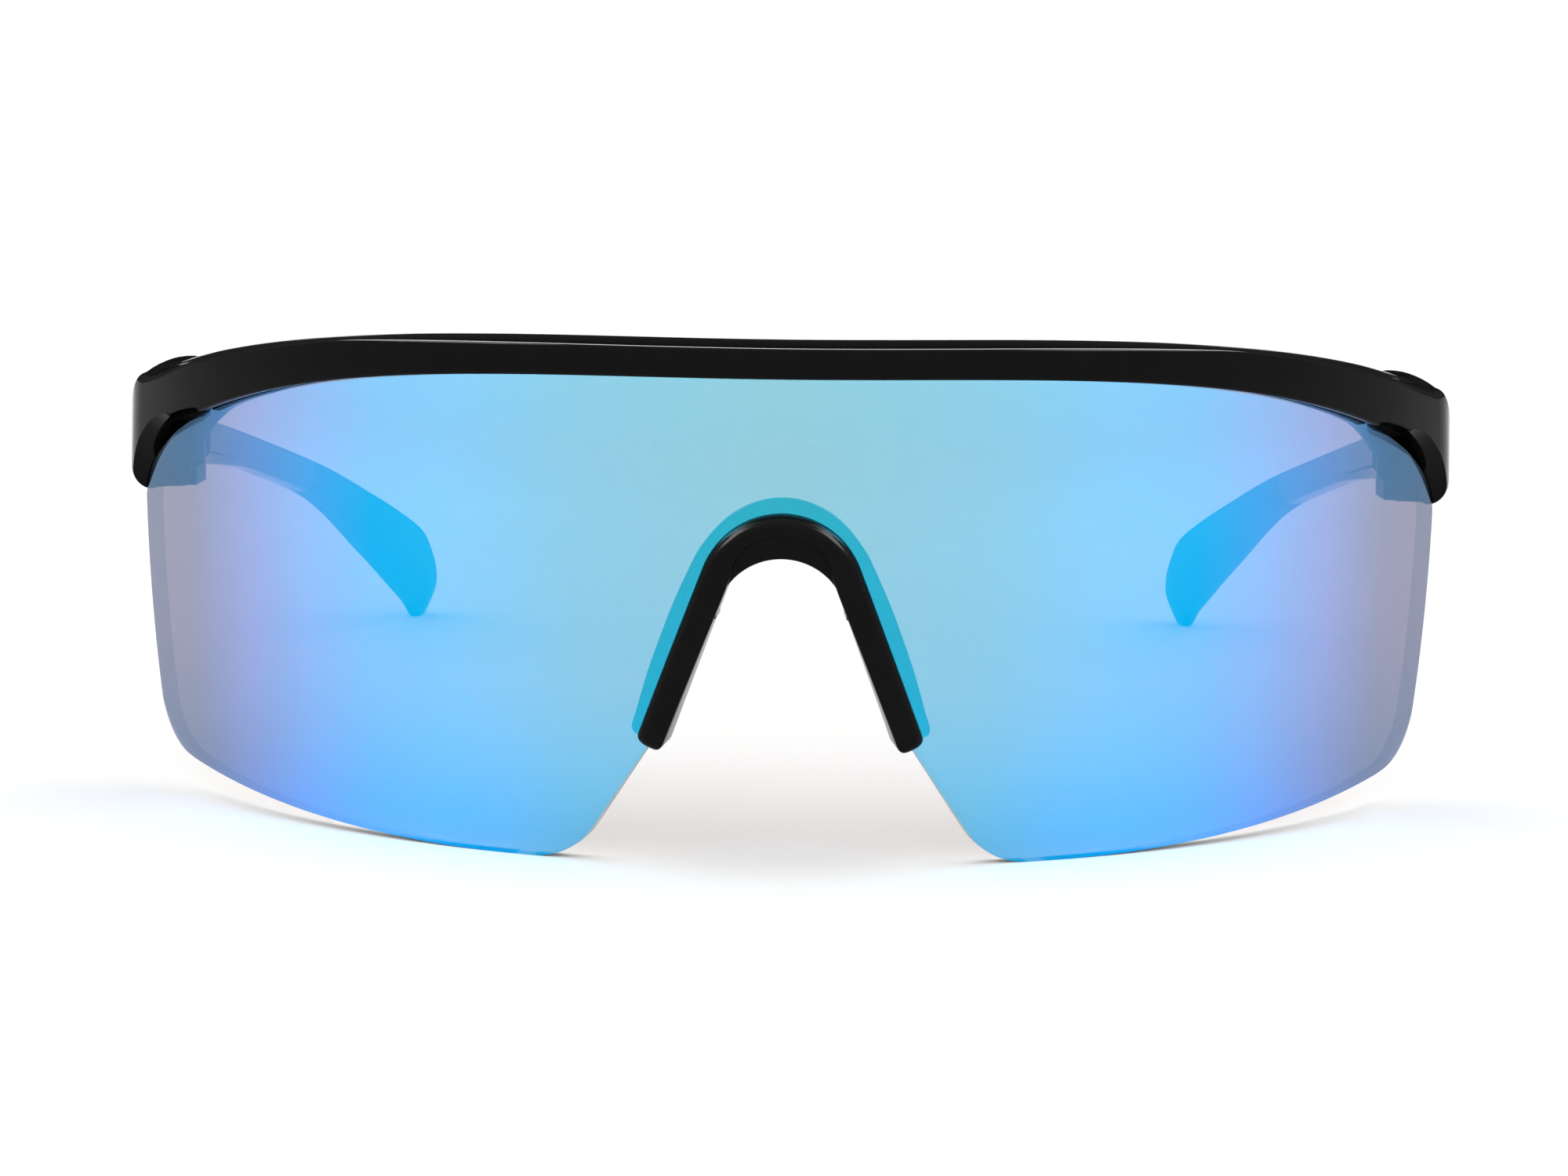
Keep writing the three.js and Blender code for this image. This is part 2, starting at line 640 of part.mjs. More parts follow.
function templeGeometry() {
  const { x, y, radius, leaf, relief } = hinge;
  const [low, high] = hingeStack().knuckle;
  const arm = loft(steps(templeStart, tip.start, 40).map((depth) => templeRing(depth)), templeCap(tip.start));
  const swing = radius + GAP;
  const inside = x - 2 * swing;
  const front = templeStart - 1;
  const pocketFrom = hinge.bottom - 3;
  const pocketTo = hinge.top + 3;
  const pocket = plate([[inside, front], [x + swing, front], [x + swing, y], [x, y], [x, y + relief],
    [inside, y + relief]], pocketFrom, pocketTo);
  const pocketRound = hingePost(swing, pocketFrom, pocketTo);
  const inner = x - radius + GAP;
  const leafOutline = rectangle(inner, x + radius, y, y + leaf).map((p) => [p.x, p.y]);
  const middleLeaf = plate(leafOutline, low, high);
  const knuckle = join(hingePost(radius, low, high), middleLeaf);
  const bore = hingePost(screw.radius + GAP, low - 1, high + 1);
  return cut(join(cut(arm, pocket, pocketRound), knuckle, tongueGeometry(0)), bore);
}

// The end of the tip shrinks along a quarter circle.
function tipGeometry() {
  const start = tip.start + GAP;
  const { round } = tip;
  const ends = steps(0, Math.PI / 2.4, 3).map((angle) => [
    templeEnd - round + round * Math.sin(angle), round * (1 - Math.cos(angle))]);
  const stations = [...steps(start, templeEnd - 2 * round, 26).map((y) => [y, 0]), ...ends];
  const body = loft(stations.map(([y, shrink]) => templeRing(y, shrink)), templeCap(start));
  return cut(body, tongueGeometry(GAP));
}

// ---------------------------------------------------------------- the hinge screw

function screwGeometry() {
  const { radius, headRadius, headHeight, headBevel, slotWidth, slotDepth } = screw;
  const bottom = hinge.bottom + GAP;
  const seat = hinge.top - headHeight / 2 + GAP;
  const top = seat + headHeight;
  const profilePoints = [[0, bottom], [radius, bottom], [radius, seat], [headRadius, seat],
    [headRadius, top - headBevel], [headRadius - headBevel, top], [0, top]];
  const turned = new THREE.LatheGeometry(profilePoints.map(([r, z]) => new THREE.Vector2(r, z)), 32);
  turned.rotateX(Math.PI / 2).translate(hinge.x, hinge.y, 0);
  const slot = new THREE.BoxGeometry(slotWidth, 4 * headRadius, 2 * slotDepth);
  return cut(turned, slot.translate(hinge.x, hinge.y, top));
}

// ---------------------------------------------------------------- assembly

const finishes = {
  gloss: { color: 0x0b0b0c, roughness: 0.12, metalness: 0 },
  mirror: { color: 0x59bfe8, roughness: 0.03, metalness: 0.6 },
  rubber: { color: 0x141415, roughness: 0.6, metalness: 0 },
  steel: { color: 0x9a9c9f, roughness: 0.3, metalness: 1 },
};

function piece(name, geometry, finish) {
  const mesh = new THREE.Mesh(geometry, new THREE.MeshStandardMaterial(finishes[finish]));
  mesh.name = name;
  return mesh;
}

const glasses = new THREE.Group();
glasses.add(
  piece('shield_lens', lensGeometry(), 'mirror'),
  piece('brow_frame', browGeometry(), 'gloss'),
  piece('nose_bridge', bridgeGeometry(), 'gloss'),
);

const paired = [
  ['nose_pad', padGeometry(), 'rubber'],
  ['temple', templeGeometry(), 'gloss'],
  ['temple_tip', tipGeometry(), 'rubber'],
  ['hinge_screw', screwGeometry(), 'steel'],
];
for (const [name, geometry, finish] of paired) {
  glasses.add(piece(`${name}_left`, geometry, finish), piece(`${name}_right`, mirrored(geometry), finish));
}

// The origin is under the middle of the glasses, on the table.
const extent = new THREE.Box3().setFromObject(glasses);
const middle = extent.getCenter(new THREE.Vector3());
glasses.position.set(-middle.x, -middle.y, -extent.min.z);

export default glasses;
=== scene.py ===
# %% [markdown]
# # Wraparound sport sunglasses
# One curved, mirrored shield hangs in a glossy half frame, a saddle nosepiece grips the shield's nose
# cut-out, and two arms with soft tips fold behind it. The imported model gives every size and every
# hinge, so this lesson only makes the looks: it loads the frame first and never moves it.

# %% Load the frame
import math
import bmesh
import bpy
from mathutils import Matrix, Vector


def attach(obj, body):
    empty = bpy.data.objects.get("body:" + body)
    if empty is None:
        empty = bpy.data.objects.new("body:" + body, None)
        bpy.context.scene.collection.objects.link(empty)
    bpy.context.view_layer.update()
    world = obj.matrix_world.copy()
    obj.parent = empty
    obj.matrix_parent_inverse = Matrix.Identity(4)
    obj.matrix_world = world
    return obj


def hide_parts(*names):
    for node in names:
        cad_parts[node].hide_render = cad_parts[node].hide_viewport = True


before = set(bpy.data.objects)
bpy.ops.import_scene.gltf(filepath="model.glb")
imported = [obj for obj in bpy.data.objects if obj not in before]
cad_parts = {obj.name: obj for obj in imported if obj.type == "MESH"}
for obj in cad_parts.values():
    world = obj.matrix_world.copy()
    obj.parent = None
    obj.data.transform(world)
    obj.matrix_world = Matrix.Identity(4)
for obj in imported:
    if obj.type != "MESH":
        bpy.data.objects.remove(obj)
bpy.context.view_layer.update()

# %% [markdown]
# ## One ruler for everything
# Eyewear is drawn in millimetres, with depth counted from the shield's foremost line. Blender works in
# metres and the frame's origin is under the middle of the glasses, so one function moves each finished
# point over. That is simpler than scaling objects, which would also scale their bevels and textures.

# %% Millimetres to the frame
MM = 0.001
FOREMOST = -78.116  # depth of the shield's foremost line behind the frame's origin


def to_frame(point):
    return Vector((point[0], point[1] + FOREMOST, point[2])) * MM


# %% [markdown]
# ## From rings of points to a piece
# Every moulded part here is a skin over rings: a section carried along a line. A curve object with a
# bevel could do it too, but its section can't change on the way, and these sections grow, flatten and
# lean. So the rings are computed and joined by quads. Shading is smooth except over crisp edges.


# %% Skins, pieces and edges
def skin(rings, closed=True):
    """Points and quads over rings, one after another, with a cap on the first and the last."""
    count = len(rings[0])
    points = [point for ring in rings for point in ring]
    faces = []
    for i in range(len(rings) - 1):
        for j in range(count):
            a, b = i * count + j, i * count + (j + 1) % count
            faces.append((a, b, b + count, a + count))
    if closed:
        last = (len(rings) - 1) * count
        faces.append(tuple(reversed(range(count))))
        faces.append(tuple(range(last, last + count)))
    return points, faces


def mesh_object(name, points, faces):
    mesh = bpy.data.meshes.new(name)
    mesh.from_pydata([to_frame(p) for p in points], [], faces)
    build = bmesh.new()
    build.from_mesh(mesh)
    bmesh.ops.remove_doubles(build, verts=build.verts, dist=1e-6)
    bmesh.ops.recalc_face_normals(build, faces=build.faces)
    build.to_mesh(mesh)
    build.free()
    made = bpy.data.objects.new(name, mesh)
    bpy.context.scene.collection.objects.link(made)
    return made


def crisp(piece, degrees=32):
    """Smooth shading, broken where two faces meet at a sharper angle."""
    build = bmesh.new()
    build.from_mesh(piece.data)
    for face in build.faces:
        face.smooth = True
    for edge in build.edges:
        edge.smooth = len(edge.link_faces) == 2 and edge.calc_face_angle() < math.radians(degrees)
    build.to_mesh(piece.data)
    build.free()


def bake_modifiers(piece):
    graph = bpy.context.evaluated_depsgraph_get()
    mesh = bpy.data.meshes.new_from_object(piece.evaluated_get(graph))
    piece.modifiers.clear()
    piece.data = mesh


def combine(piece, tool, operation):
    """Cuts a tool out of a piece or joins it on, and throws the tool away."""
    step = piece.modifiers.new("combine", "BOOLEAN")
    step.operation = operation
    step.solver = "MANIFOLD"
    step.object = tool
    bake_modifiers(piece)
    bpy.data.objects.remove(tool)


def round_edges(piece, width, segments=2, degrees=40):
    """A small bevel on every edge sharper than that."""
    step = piece.modifiers.new("round", "BEVEL")
    step.width = width * MM
    step.segments = segments
    step.angle_limit = math.radians(degrees)
    bake_modifiers(piece)


def mirror_object(piece, name):
    """The same piece on the wearer's other side."""
    mesh = piece.data.copy()
    mesh.transform(Matrix.Scale(-1, 4, (1, 0, 0)))
    mesh.flip_normals()
    made = bpy.data.objects.new(name, mesh)
    bpy.context.scene.collection.objects.link(made)
    return made


def settle(piece, body, node):
    """Hands a finished piece to the frame: it rides on a body and stands for a node."""
    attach(piece, body)
    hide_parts(node)
    print(piece.name, "has", len(piece.data.polygons), "faces")


# %% [markdown]
# ## The shield's surface
# The shield is bent round an upright axis with a radius of 85 mm, and its side view is a barrel with a
# much larger radius. Everything that touches it, from the frame's groove to the nosepiece, uses the
# same formula, with `out` telling how far in front of the shield's face it lies.

# %% Points on the shield
BEND, BARREL, WAIST = 85.0, 220.0, 30.8
SHIELD, GAP = 2.0, 0.3


def fall_back(z):
    return (z - WAIST) ** 2 / (2 * BARREL)


def on_shield(u, z, out):
    radius = BEND + out - fall_back(z)
    return Vector((radius * math.sin(u / BEND), BEND - radius * math.cos(u / BEND), z))


def even(a, b, count):
    return [a + (b - a) * i / count for i in range(count + 1)]


def ease(x, a, b):
    t = min(1.0, max(0.0, (x - a) / (b - a)))
    return t * t * (3 - 2 * t)


def blend(a, b, t):
    return a + (b - a) * t


print("a point 60 mm round the shield stands", round(on_shield(60, WAIST, 0).y, 1), "mm back")

# %% [markdown]
# ## The edges of the shield
# The lower edge is an arch with two straight splayed legs for the nose, a round corner, a short flat
# that stands on the table, and a long sweep up to the outer corner. The upper edge follows the brow
# bar's groove, leaves it at 74 mm, and runs round the free corner to the side. Each is a list of
# (place round the curve, height), and a round corner between two straight lines is a fillet.

# %% Nose line and fillets
NOSE_TOP, SPLAY, FOOT_X, FOOT_Z = 37.45, math.radians(21), 14.35, 13.4
leg_normal = Vector((math.cos(SPLAY), math.sin(SPLAY)))
ARCH_Z = (leg_normal.dot(Vector((FOOT_X, FOOT_Z))) - NOSE_TOP) / (leg_normal.y - 1)
ARCH_R = NOSE_TOP - ARCH_Z


def nose_line(arch_steps, leg_steps):
    """Half of the cut-out's edge, from its crown to a foot."""
    arch = [Vector((ARCH_R * math.sin(a), ARCH_Z + ARCH_R * math.cos(a)))
            for a in even(0, math.pi / 2 - SPLAY, arch_steps)]
    foot = Vector((FOOT_X, FOOT_Z))
    return arch + [arch[-1].lerp(foot, t) for t in even(0, 1, leg_steps)[1:]]


def fillet(start, corner, end, radius, count):
    a, b = (start - corner).normalized(), (end - corner).normalized()
    half = math.acos(max(-1, min(1, a.dot(b)))) / 2
    centre = corner + (a + b).normalized() * radius / math.sin(half)
    first = corner + a * radius / math.tan(half) - centre
    turn = math.copysign(math.pi - 2 * half, first.x * b.y - first.y * b.x)
    return [centre + Matrix.Rotation(angle, 2) @ first for angle in even(0, turn, count)]


def both_halves(line):
    """A line given from the middle outwards, with its mirror image before it."""
    return [Vector((-p.x, *p[1:])) for p in reversed(line[1:])] + list(line)


def sideways(line, i):
    """The direction to the left of a line at one of its points."""
    if abs(line[i].x) < 1e-6:
        return Vector((0, 1))
    along = (line[min(i + 1, len(line) - 1)] - line[max(i - 1, 0)]).normalized()
    return Vector((-along.y, along.x))


def carried(line, section_at):
    """Rings of a section carried along a line on the shield: x to its left, y in front."""
    rings = []
    for i, point in enumerate(line):
        side = sideways(line, i)
        rings.append([on_shield(point.x + side.x * x, point.y + side.y * x, y) for x, y in section_at(i)])
    return rings


print("nose arch radius", round(ARCH_R, 2), "mm")

# %% Lower and upper edge
HALF_WIDTH, SIDE_TOP, FREE_FROM = 88.9, 33.5, 74.0
BROW_TOP, BROW_FACE, TUCK = 57.3, 3.7, 1.6


def brow_lower(u):
    return BROW_TOP - BROW_FACE - 8.25 * (abs(u) / 74.6) ** 3.3


def brow_upper(u):
    return BROW_TOP - 7.7 * (abs(u) / 89) ** 3.1


def lower_edge():
    flat_end, outer_u = 30.5, HALF_WIDTH - 2.4
    rise = lambda u: max(0.0, u - flat_end) ** 2 / (2 * 280)
    inner = fillet(Vector((FOOT_X, FOOT_Z)), Vector((23.5, 0)), Vector((flat_end, 0)), 9, 16)
    before, corner = Vector((outer_u - 10, rise(outer_u - 10))), Vector((outer_u, rise(outer_u)))
    outer = fillet(before, corner, Vector((HALF_WIDTH, SIDE_TOP)), 7.5, 16)
    sweep = [Vector((u, rise(u))) for u in even(flat_end, outer[0].x - 0.8, 50)]
    return nose_line(30, 24) + inner + sweep + outer


def free_corner(t):
    """The corner's edge, a curve pulled towards a point high on the side."""
    a = Vector((FREE_FROM + 0.3, brow_lower(FREE_FROM) - 0.2))
    b, c = Vector((HALF_WIDTH, 39.5)), Vector((HALF_WIDTH, SIDE_TOP))
    return a * (1 - t) ** 2 + b * 2 * t * (1 - t) + c * t * t


def upper_edge(lower):
    tucked = [p for p in lower if p.x < FREE_FROM - 0.2]
    free = len(lower) - len(tucked) - 1
    line = [Vector((p.x, brow_lower(p.x) + TUCK)) for p in tucked]
    line.append(Vector((FREE_FROM, brow_lower(FREE_FROM) + TUCK)))
    return line + [free_corner(t) for t in even(0, 1, free - 1)]


print("shield edge has", 2 * len(lower_edge()) - 1, "points")

# %% [markdown]
# ## The mirror coating
# The lens is smoke-brown polycarbonate with a blue mirror on its front. A mirror coating like this is a
# stack of thin films: it throws back cyan light where it is seen square on, blue and then violet grey
# towards the sides, where the shield turns away. What it doesn't throw back passes through, tinted by
# the smoke. That needs two shaders mixed by one share: a metallic one whose colour comes from a ramp
# over the width, and a transparent one with the smoke's tint. Both are painted darker towards the
# bottom, painted shade for the shaded table near the shield, and the mirror's colour is painted a little
# brighter at the top. From the wearer's side the coating hardly shows, so the back of the face is only
# the tint.


# %% Helpers for materials
def new_material(name):
    made = bpy.data.materials.new(name)
    made.use_nodes = True
    tree = made.node_tree
    tree.nodes.clear()
    return made, tree


def node(tree, kind, **values):
    made = tree.nodes.new(kind)
    for key, value in values.items():
        if key in made.inputs.keys():
            made.inputs[key].default_value = value
        else:
            setattr(made, key, value)
    return made


def set_inputs(made, values):
    for key, value in values.items():
        made.inputs[key].default_value = value
    return made


def ramp(tree, stops, mode="RGB"):
    made = node(tree, "ShaderNodeValToRGB")
    made.color_ramp.interpolation = "B_SPLINE" if mode == "soft" else "LINEAR"
    elements = made.color_ramp.elements
    while len(elements) < len(stops):
        elements.new(0.5)
    for element, (place, colour) in zip(elements, stops):
        element.position = place
        element.color = (*colour, 1) if len(colour) == 3 else colour
    return made


def noise(tree, coords, scale, detail=3.0, rough=0.55):
    made = node(tree, "ShaderNodeTexNoise")
    set_inputs(made, {"Scale": scale, "Detail": detail, "Roughness": rough})
    tree.links.new(coords, made.inputs["Vector"])
    return made


def span(tree, value, low, high):
    """Maps a 0 to 1 value onto a range."""
    made = node(tree, "ShaderNodeMapRange")
    set_inputs(made, {"To Min": low, "To Max": high})
    tree.links.new(value, made.inputs["Value"])
    return made.outputs["Result"]


print("material helpers ready")

# %% Mirror material
MIRROR_SHARE = 0.762
MIRROR_COLOURS = [  # distance from the middle in mm, colour thrown back
    (0, (0.040, 0.51, 0.69)), (22, (0.025, 0.52, 0.79)), (37, (0.0, 0.53, 1.0)), (45, (0.0, 0.50, 1.0)),
    (52, (0.05, 0.42, 0.96)), (60, (0.10, 0.30, 0.72)), (67, (0.075, 0.20, 0.39)), (74, (0.065, 0.155, 0.28)),
]


def mirror_material():
    made, tree = new_material("mirror_coating")
    link = tree.links.new
    place = node(tree, "ShaderNodeTexCoord").outputs["Object"]
    parts = node(tree, "ShaderNodeSeparateXYZ")
    link(place, parts.inputs[0])
    width = node(tree, "ShaderNodeMath", operation="ABSOLUTE")
    link(parts.outputs["X"], width.inputs[0])
    share = node(tree, "ShaderNodeMapRange")
    set_inputs(share, {"From Min": 0.0, "From Max": 0.080})
    link(width.outputs[0], share.inputs["Value"])
    colours = ramp(tree, [(mm / 80, colour) for mm, colour in MIRROR_COLOURS])
    link(share.outputs["Result"], colours.inputs["Fac"])
    smudge = noise(tree, place, 140, 4)
    metal = node(tree, "ShaderNodeBsdfPrincipled")
    set_inputs(metal, {"Metallic": 1.0})
    # Painted shade and light: the mirror's colour is multiplied darker towards the bottom and a little brighter at the
    # top.
    painted_shade_height = node(tree, "ShaderNodeMapRange")
    set_inputs(painted_shade_height, {"From Min": 0.0, "From Max": 0.055})
    link(parts.outputs["Z"], painted_shade_height.inputs["Value"])
    depth = ramp(tree, [(0.0, (0.90, 0.90, 0.95)), (0.5, (0.98, 0.98, 0.98)), (1.0, (1.10, 1.06, 1.0))])
    link(painted_shade_height.outputs["Result"], depth.inputs["Fac"])
    shaded = node(tree, "ShaderNodeMixRGB", blend_type="MULTIPLY")
    shaded.inputs["Fac"].default_value = 1.0
    link(colours.outputs["Color"], shaded.inputs["Color1"])
    link(depth.outputs["Color"], shaded.inputs["Color2"])
    link(shaded.outputs["Color"], metal.inputs["Base Color"])
    link(span(tree, smudge.outputs["Fac"], 0.02, 0.10), metal.inputs["Roughness"])
    tint = node(tree, "ShaderNodeBsdfTransparent")
    # The smoke's tint, painted darker towards the bottom as painted shade.
    tint_with_painted_shade = ramp(tree, [(0.0, (0.66, 0.56, 0.56)), (0.35, (0.98, 0.64, 0.57)), (1.0, (1.0, 0.70, 0.62))])
    link(painted_shade_height.outputs["Result"], tint_with_painted_shade.inputs["Fac"])
    link(tint_with_painted_shade.outputs["Color"], tint.inputs["Color"])
    front = node(tree, "ShaderNodeMixShader")
    front.inputs["Fac"].default_value = MIRROR_SHARE
    link(tint.outputs[0], front.inputs[1])
    link(metal.outputs[0], front.inputs[2])
    smoke = node(tree, "ShaderNodeBsdfTransparent")
    smoke.inputs["Color"].default_value = (0.33, 0.25, 0.22, 1)
    side = node(tree, "ShaderNodeNewGeometry")
    both = node(tree, "ShaderNodeMixShader")
    link(side.outputs["Backfacing"], both.inputs["Fac"])
    link(front.outputs[0], both.inputs[1])
    link(smoke.outputs[0], both.inputs[2])
    link(both.outputs[0], node(tree, "ShaderNodeOutputMaterial").inputs["Surface"])
    return made


def rear_material():
    """The uncoated back of the shield: clear, with a faint polish that only shows from behind."""
    made, tree = new_material("shield_back")
    link = tree.links.new
    place = node(tree, "ShaderNodeTexCoord").outputs["Object"]
    smudge = noise(tree, place, 90, 4)
    gloss = node(tree, "ShaderNodeBsdfGlossy")
    link(span(tree, smudge.outputs["Fac"], 0.02, 0.12), gloss.inputs["Roughness"])
    clear = node(tree, "ShaderNodeBsdfTransparent")
    edge_on = node(tree, "ShaderNodeFresnel", IOR=1.5)
    side = node(tree, "ShaderNodeNewGeometry")
    outside = node(tree, "ShaderNodeMath", operation="SUBTRACT")
    outside.inputs[0].default_value = 1
    link(side.outputs["Backfacing"], outside.inputs[1])
    share = node(tree, "ShaderNodeMath", operation="MULTIPLY")
    link(edge_on.outputs[0], share.inputs[0])
    link(outside.outputs[0], share.inputs[1])
    both = node(tree, "ShaderNodeMixShader")
    link(share.outputs[0], both.inputs["Fac"])
    link(clear.outputs[0], both.inputs[1])
    link(gloss.outputs[0], both.inputs[2])
    link(both.outputs[0], node(tree, "ShaderNodeOutputMaterial").inputs["Surface"])
    return made


def edge_material():
    """The milled rim of the shield: pale and matte from outside, clear from within the plastic."""
    made, tree = new_material("shield_rim")
    link = tree.links.new
    place = node(tree, "ShaderNodeTexCoord").outputs["Object"]
    marks = noise(tree, place, 900, 2)
    colours = ramp(tree, [(0.3, (0.34, 0.34, 0.34)), (0.7, (0.52, 0.52, 0.50))])
    link(marks.outputs["Fac"], colours.inputs["Fac"])
    matte = node(tree, "ShaderNodeBsdfPrincipled")
    link(colours.outputs["Color"], matte.inputs["Base Color"])
    link(span(tree, marks.outputs["Fac"], 0.35, 0.6), matte.inputs["Roughness"])
    within = node(tree, "ShaderNodeBsdfTransparent")
    within.inputs["Color"].default_value = (0.72, 0.76, 0.82, 1)
    both = node(tree, "ShaderNodeMixShader")
    link(node(tree, "ShaderNodeNewGeometry").outputs["Backfacing"], both.inputs["Fac"])
    link(matte.outputs[0], both.inputs[1])
    link(within.outputs[0], both.inputs[2])
    link(both.outputs[0], node(tree, "ShaderNodeOutputMaterial").inputs["Surface"])
    return made


mirror, shield_back, shield_rim = mirror_material(), rear_material(), edge_material()
print("made", mirror.name, shield_back.name, shield_rim.name)

# %% [markdown]
# ## The shield
# With its edges paired point by point, the shield is two grids, front and back, sewn together round the
# rim. A solidify modifier on one grid would do nearly the same, but it offsets along normals, and a
# moulded shield keeps its rim square to the curve. The bevel softens the rim as a tumbler does.


# %% Build the shield
def shield_slab(lower, upper, front, back, rows):
    """A slab of the shield between two edges, with a material index for each face."""
    columns, width = len(lower), rows + 1
    points, faces, kinds = [], [], []
    for out in (front, back):
        for low, high in zip(lower, upper):
            points += [on_shield(*low.lerp(high, t), out) for t in even(0, 1, rows)]
    behind = columns * width

    def quad(corners, kind):
        faces.append(corners)
        kinds.append(kind)

    for i in range(columns - 1):
        a, b = i * width, (i + 1) * width
        for j in range(rows):
            quad((a + j, b + j, b + j + 1, a + j + 1), 0)
            quad((behind + a + j, behind + a + j + 1, behind + b + j + 1, behind + b + j), 1)
        quad((a, behind + a, behind + b, b), 2)
        quad((a + rows, b + rows, behind + b + rows, behind + a + rows), 2)
    for start in (0, (columns - 1) * width):
        for j in range(rows):
            quad((start + j, start + j + 1, behind + start + j + 1, behind + start + j), 2)
    return points, faces, kinds


def build_shield():
    lower = lower_edge()
    upper = upper_edge(lower)
    points, faces, kinds = shield_slab(both_halves(lower), both_halves(upper), 0, -SHIELD, 26)
    mesh = bpy.data.meshes.new("shield")
    mesh.from_pydata([to_frame(p) for p in points], [], faces)
    for material in (mirror, shield_back, shield_rim):
        mesh.materials.append(material)
    mesh.polygons.foreach_set("material_index", kinds)
    build = bmesh.new()
    build.from_mesh(mesh)
    bmesh.ops.recalc_face_normals(build, faces=build.faces)
    build.to_mesh(mesh)
    build.free()
    made = bpy.data.objects.new("shield", mesh)
    bpy.context.scene.collection.objects.link(made)
    round_edges(made, 0.18, segments=2, degrees=50)
    crisp(made, 30)
    return made


shield = build_shield()
settle(shield, "front", "shield_lens")

# %% [markdown]
# ## Black nylon, half-gloss black and soft black
# The frame and the arms are polished black nylon. Black plastic is never one flat black: its polish
# varies a little, the mould leaves a faint waviness that bends reflections, and handling leaves hair
# lines. So the roughness comes from two noises and the bump is very shallow. The nosepiece is the same
# with less polish, and the pads and tips are soft rubber with a fine grain.


# %% Black plastics
def black_material(name, colour, polish, wave, grain, index):
    """polish is the (least, most) roughness, wave and grain are bump heights in metres."""
    made, tree = new_material(name)
    link = tree.links.new
    place = node(tree, "ShaderNodeTexCoord").outputs["Object"]
    broad, fine = noise(tree, place, 60, 2), noise(tree, place, 2600, 3)
    worn = noise(tree, place, 260, 5, 0.65)
    colours = ramp(tree, [(0.3, colour), (0.75, tuple(1.6 * c for c in colour))])
    link(worn.outputs["Fac"], colours.inputs["Fac"])
    body = node(tree, "ShaderNodeBsdfPrincipled")
    body.inputs["IOR"].default_value = index
    link(colours.outputs["Color"], body.inputs["Base Color"])
    link(span(tree, worn.outputs["Fac"], *polish), body.inputs["Roughness"])
    ripple = node(tree, "ShaderNodeBump", Distance=wave)
    link(broad.outputs["Fac"], ripple.inputs["Height"])
    speck = node(tree, "ShaderNodeBump", Distance=grain)
    link(fine.outputs["Fac"], speck.inputs["Height"])
    link(ripple.outputs["Normal"], speck.inputs["Normal"])
    link(speck.outputs["Normal"], body.inputs["Normal"])
    link(body.outputs[0], node(tree, "ShaderNodeOutputMaterial").inputs["Surface"])
    return made


polished = black_material("polished_nylon", (0.0016, 0.0015, 0.0015), (0.04, 0.10), 6e-6, 2e-7, 1.16)
half_gloss = black_material("half_gloss_nylon", (0.0016, 0.0015, 0.0016), (0.14, 0.24), 5e-6, 1e-6, 1.16)
soft = black_material("soft_rubber", (0.006, 0.006, 0.0065), (0.4, 0.55), 3e-6, 8e-6, 1.2)
print("made", polished.name, half_gloss.name, soft.name)

# %% [markdown]
# ## The brow bar
# Seen from above the bar follows the shield and then bends straight back into the endpieces. Its
# section has a flat face, a crisp upper front edge that catches a line of light, a top that rises
# gently to the rear, and a rear wall that hangs a little lower than the face, where it shows blue
# through the lens. The bar is skinned first. Then the groove for the lens and the slot round the
# lens's free corner are cut out, because cutting gives them clean, crisp edges.

# %% Plan of the bar
OUTER_X, INNER_X, REAR_Y = 75.7, 69.4, 48.3
END_BOTTOM, END_TOP = 34.4, 43.4


def on_circle(radius, angle):
    return Vector((radius * math.sin(angle), BEND - radius * math.cos(angle)))


def tail(radius, angle, x):
    """The curve from the bar's circle into the straight endpiece."""
    start = on_circle(radius, angle)
    bend = Vector((x, min(start.y + (x - start.x) * math.tan(angle), REAR_Y - 1)))
    end = Vector((x, blend(bend.y, REAR_Y, 0.7)))
    return lambda t: start * (1 - t) ** 2 + bend * 2 * t * (1 - t) + end * t * t


def bar_plan():
    """Stations along the left half: (place round the curve, outer point, inner point, how far back)."""
    outer_r, inner_r = BEND + GAP + 1.4, BEND - SHIELD - GAP - 1.9
    outer_turn = math.asin((OUTER_X - 1.6) / outer_r)
    inner_turn = math.asin((INNER_X - 3.4) / inner_r)
    corner_u = BEND * outer_turn
    front = [(t * corner_u, on_circle(outer_r, t * outer_turn), on_circle(inner_r, t * inner_turn), 0.0)
             for t in even(0, 1, 110)]
    outer_tail, inner_tail = tail(outer_r, outer_turn, OUTER_X), tail(inner_r, inner_turn, INNER_X)
    bend = [(corner_u, outer_tail(t), inner_tail(t), 0.8 * t) for t in even(0, 1, 20)[1:]]
    rear = [(corner_u, Vector((OUTER_X, y)), Vector((INNER_X, y)), back)
            for y, back in ((blend(bend[-1][1].y, REAR_Y, 0.6), 0.93), (REAR_Y - 0.35, 0.99))]
    return front + bend + rear, (corner_u, Vector((OUTER_X, REAR_Y)), Vector((INNER_X, REAR_Y)), 1.0)


def arc(x, z, radius, start, end, steps):
    return [(x + radius * math.cos(math.radians(a)), z + radius * math.sin(math.radians(a)))
            for a in even(start, end, steps)]


print("the bar has", 2 * len(bar_plan()[0]) + 1, "stations")


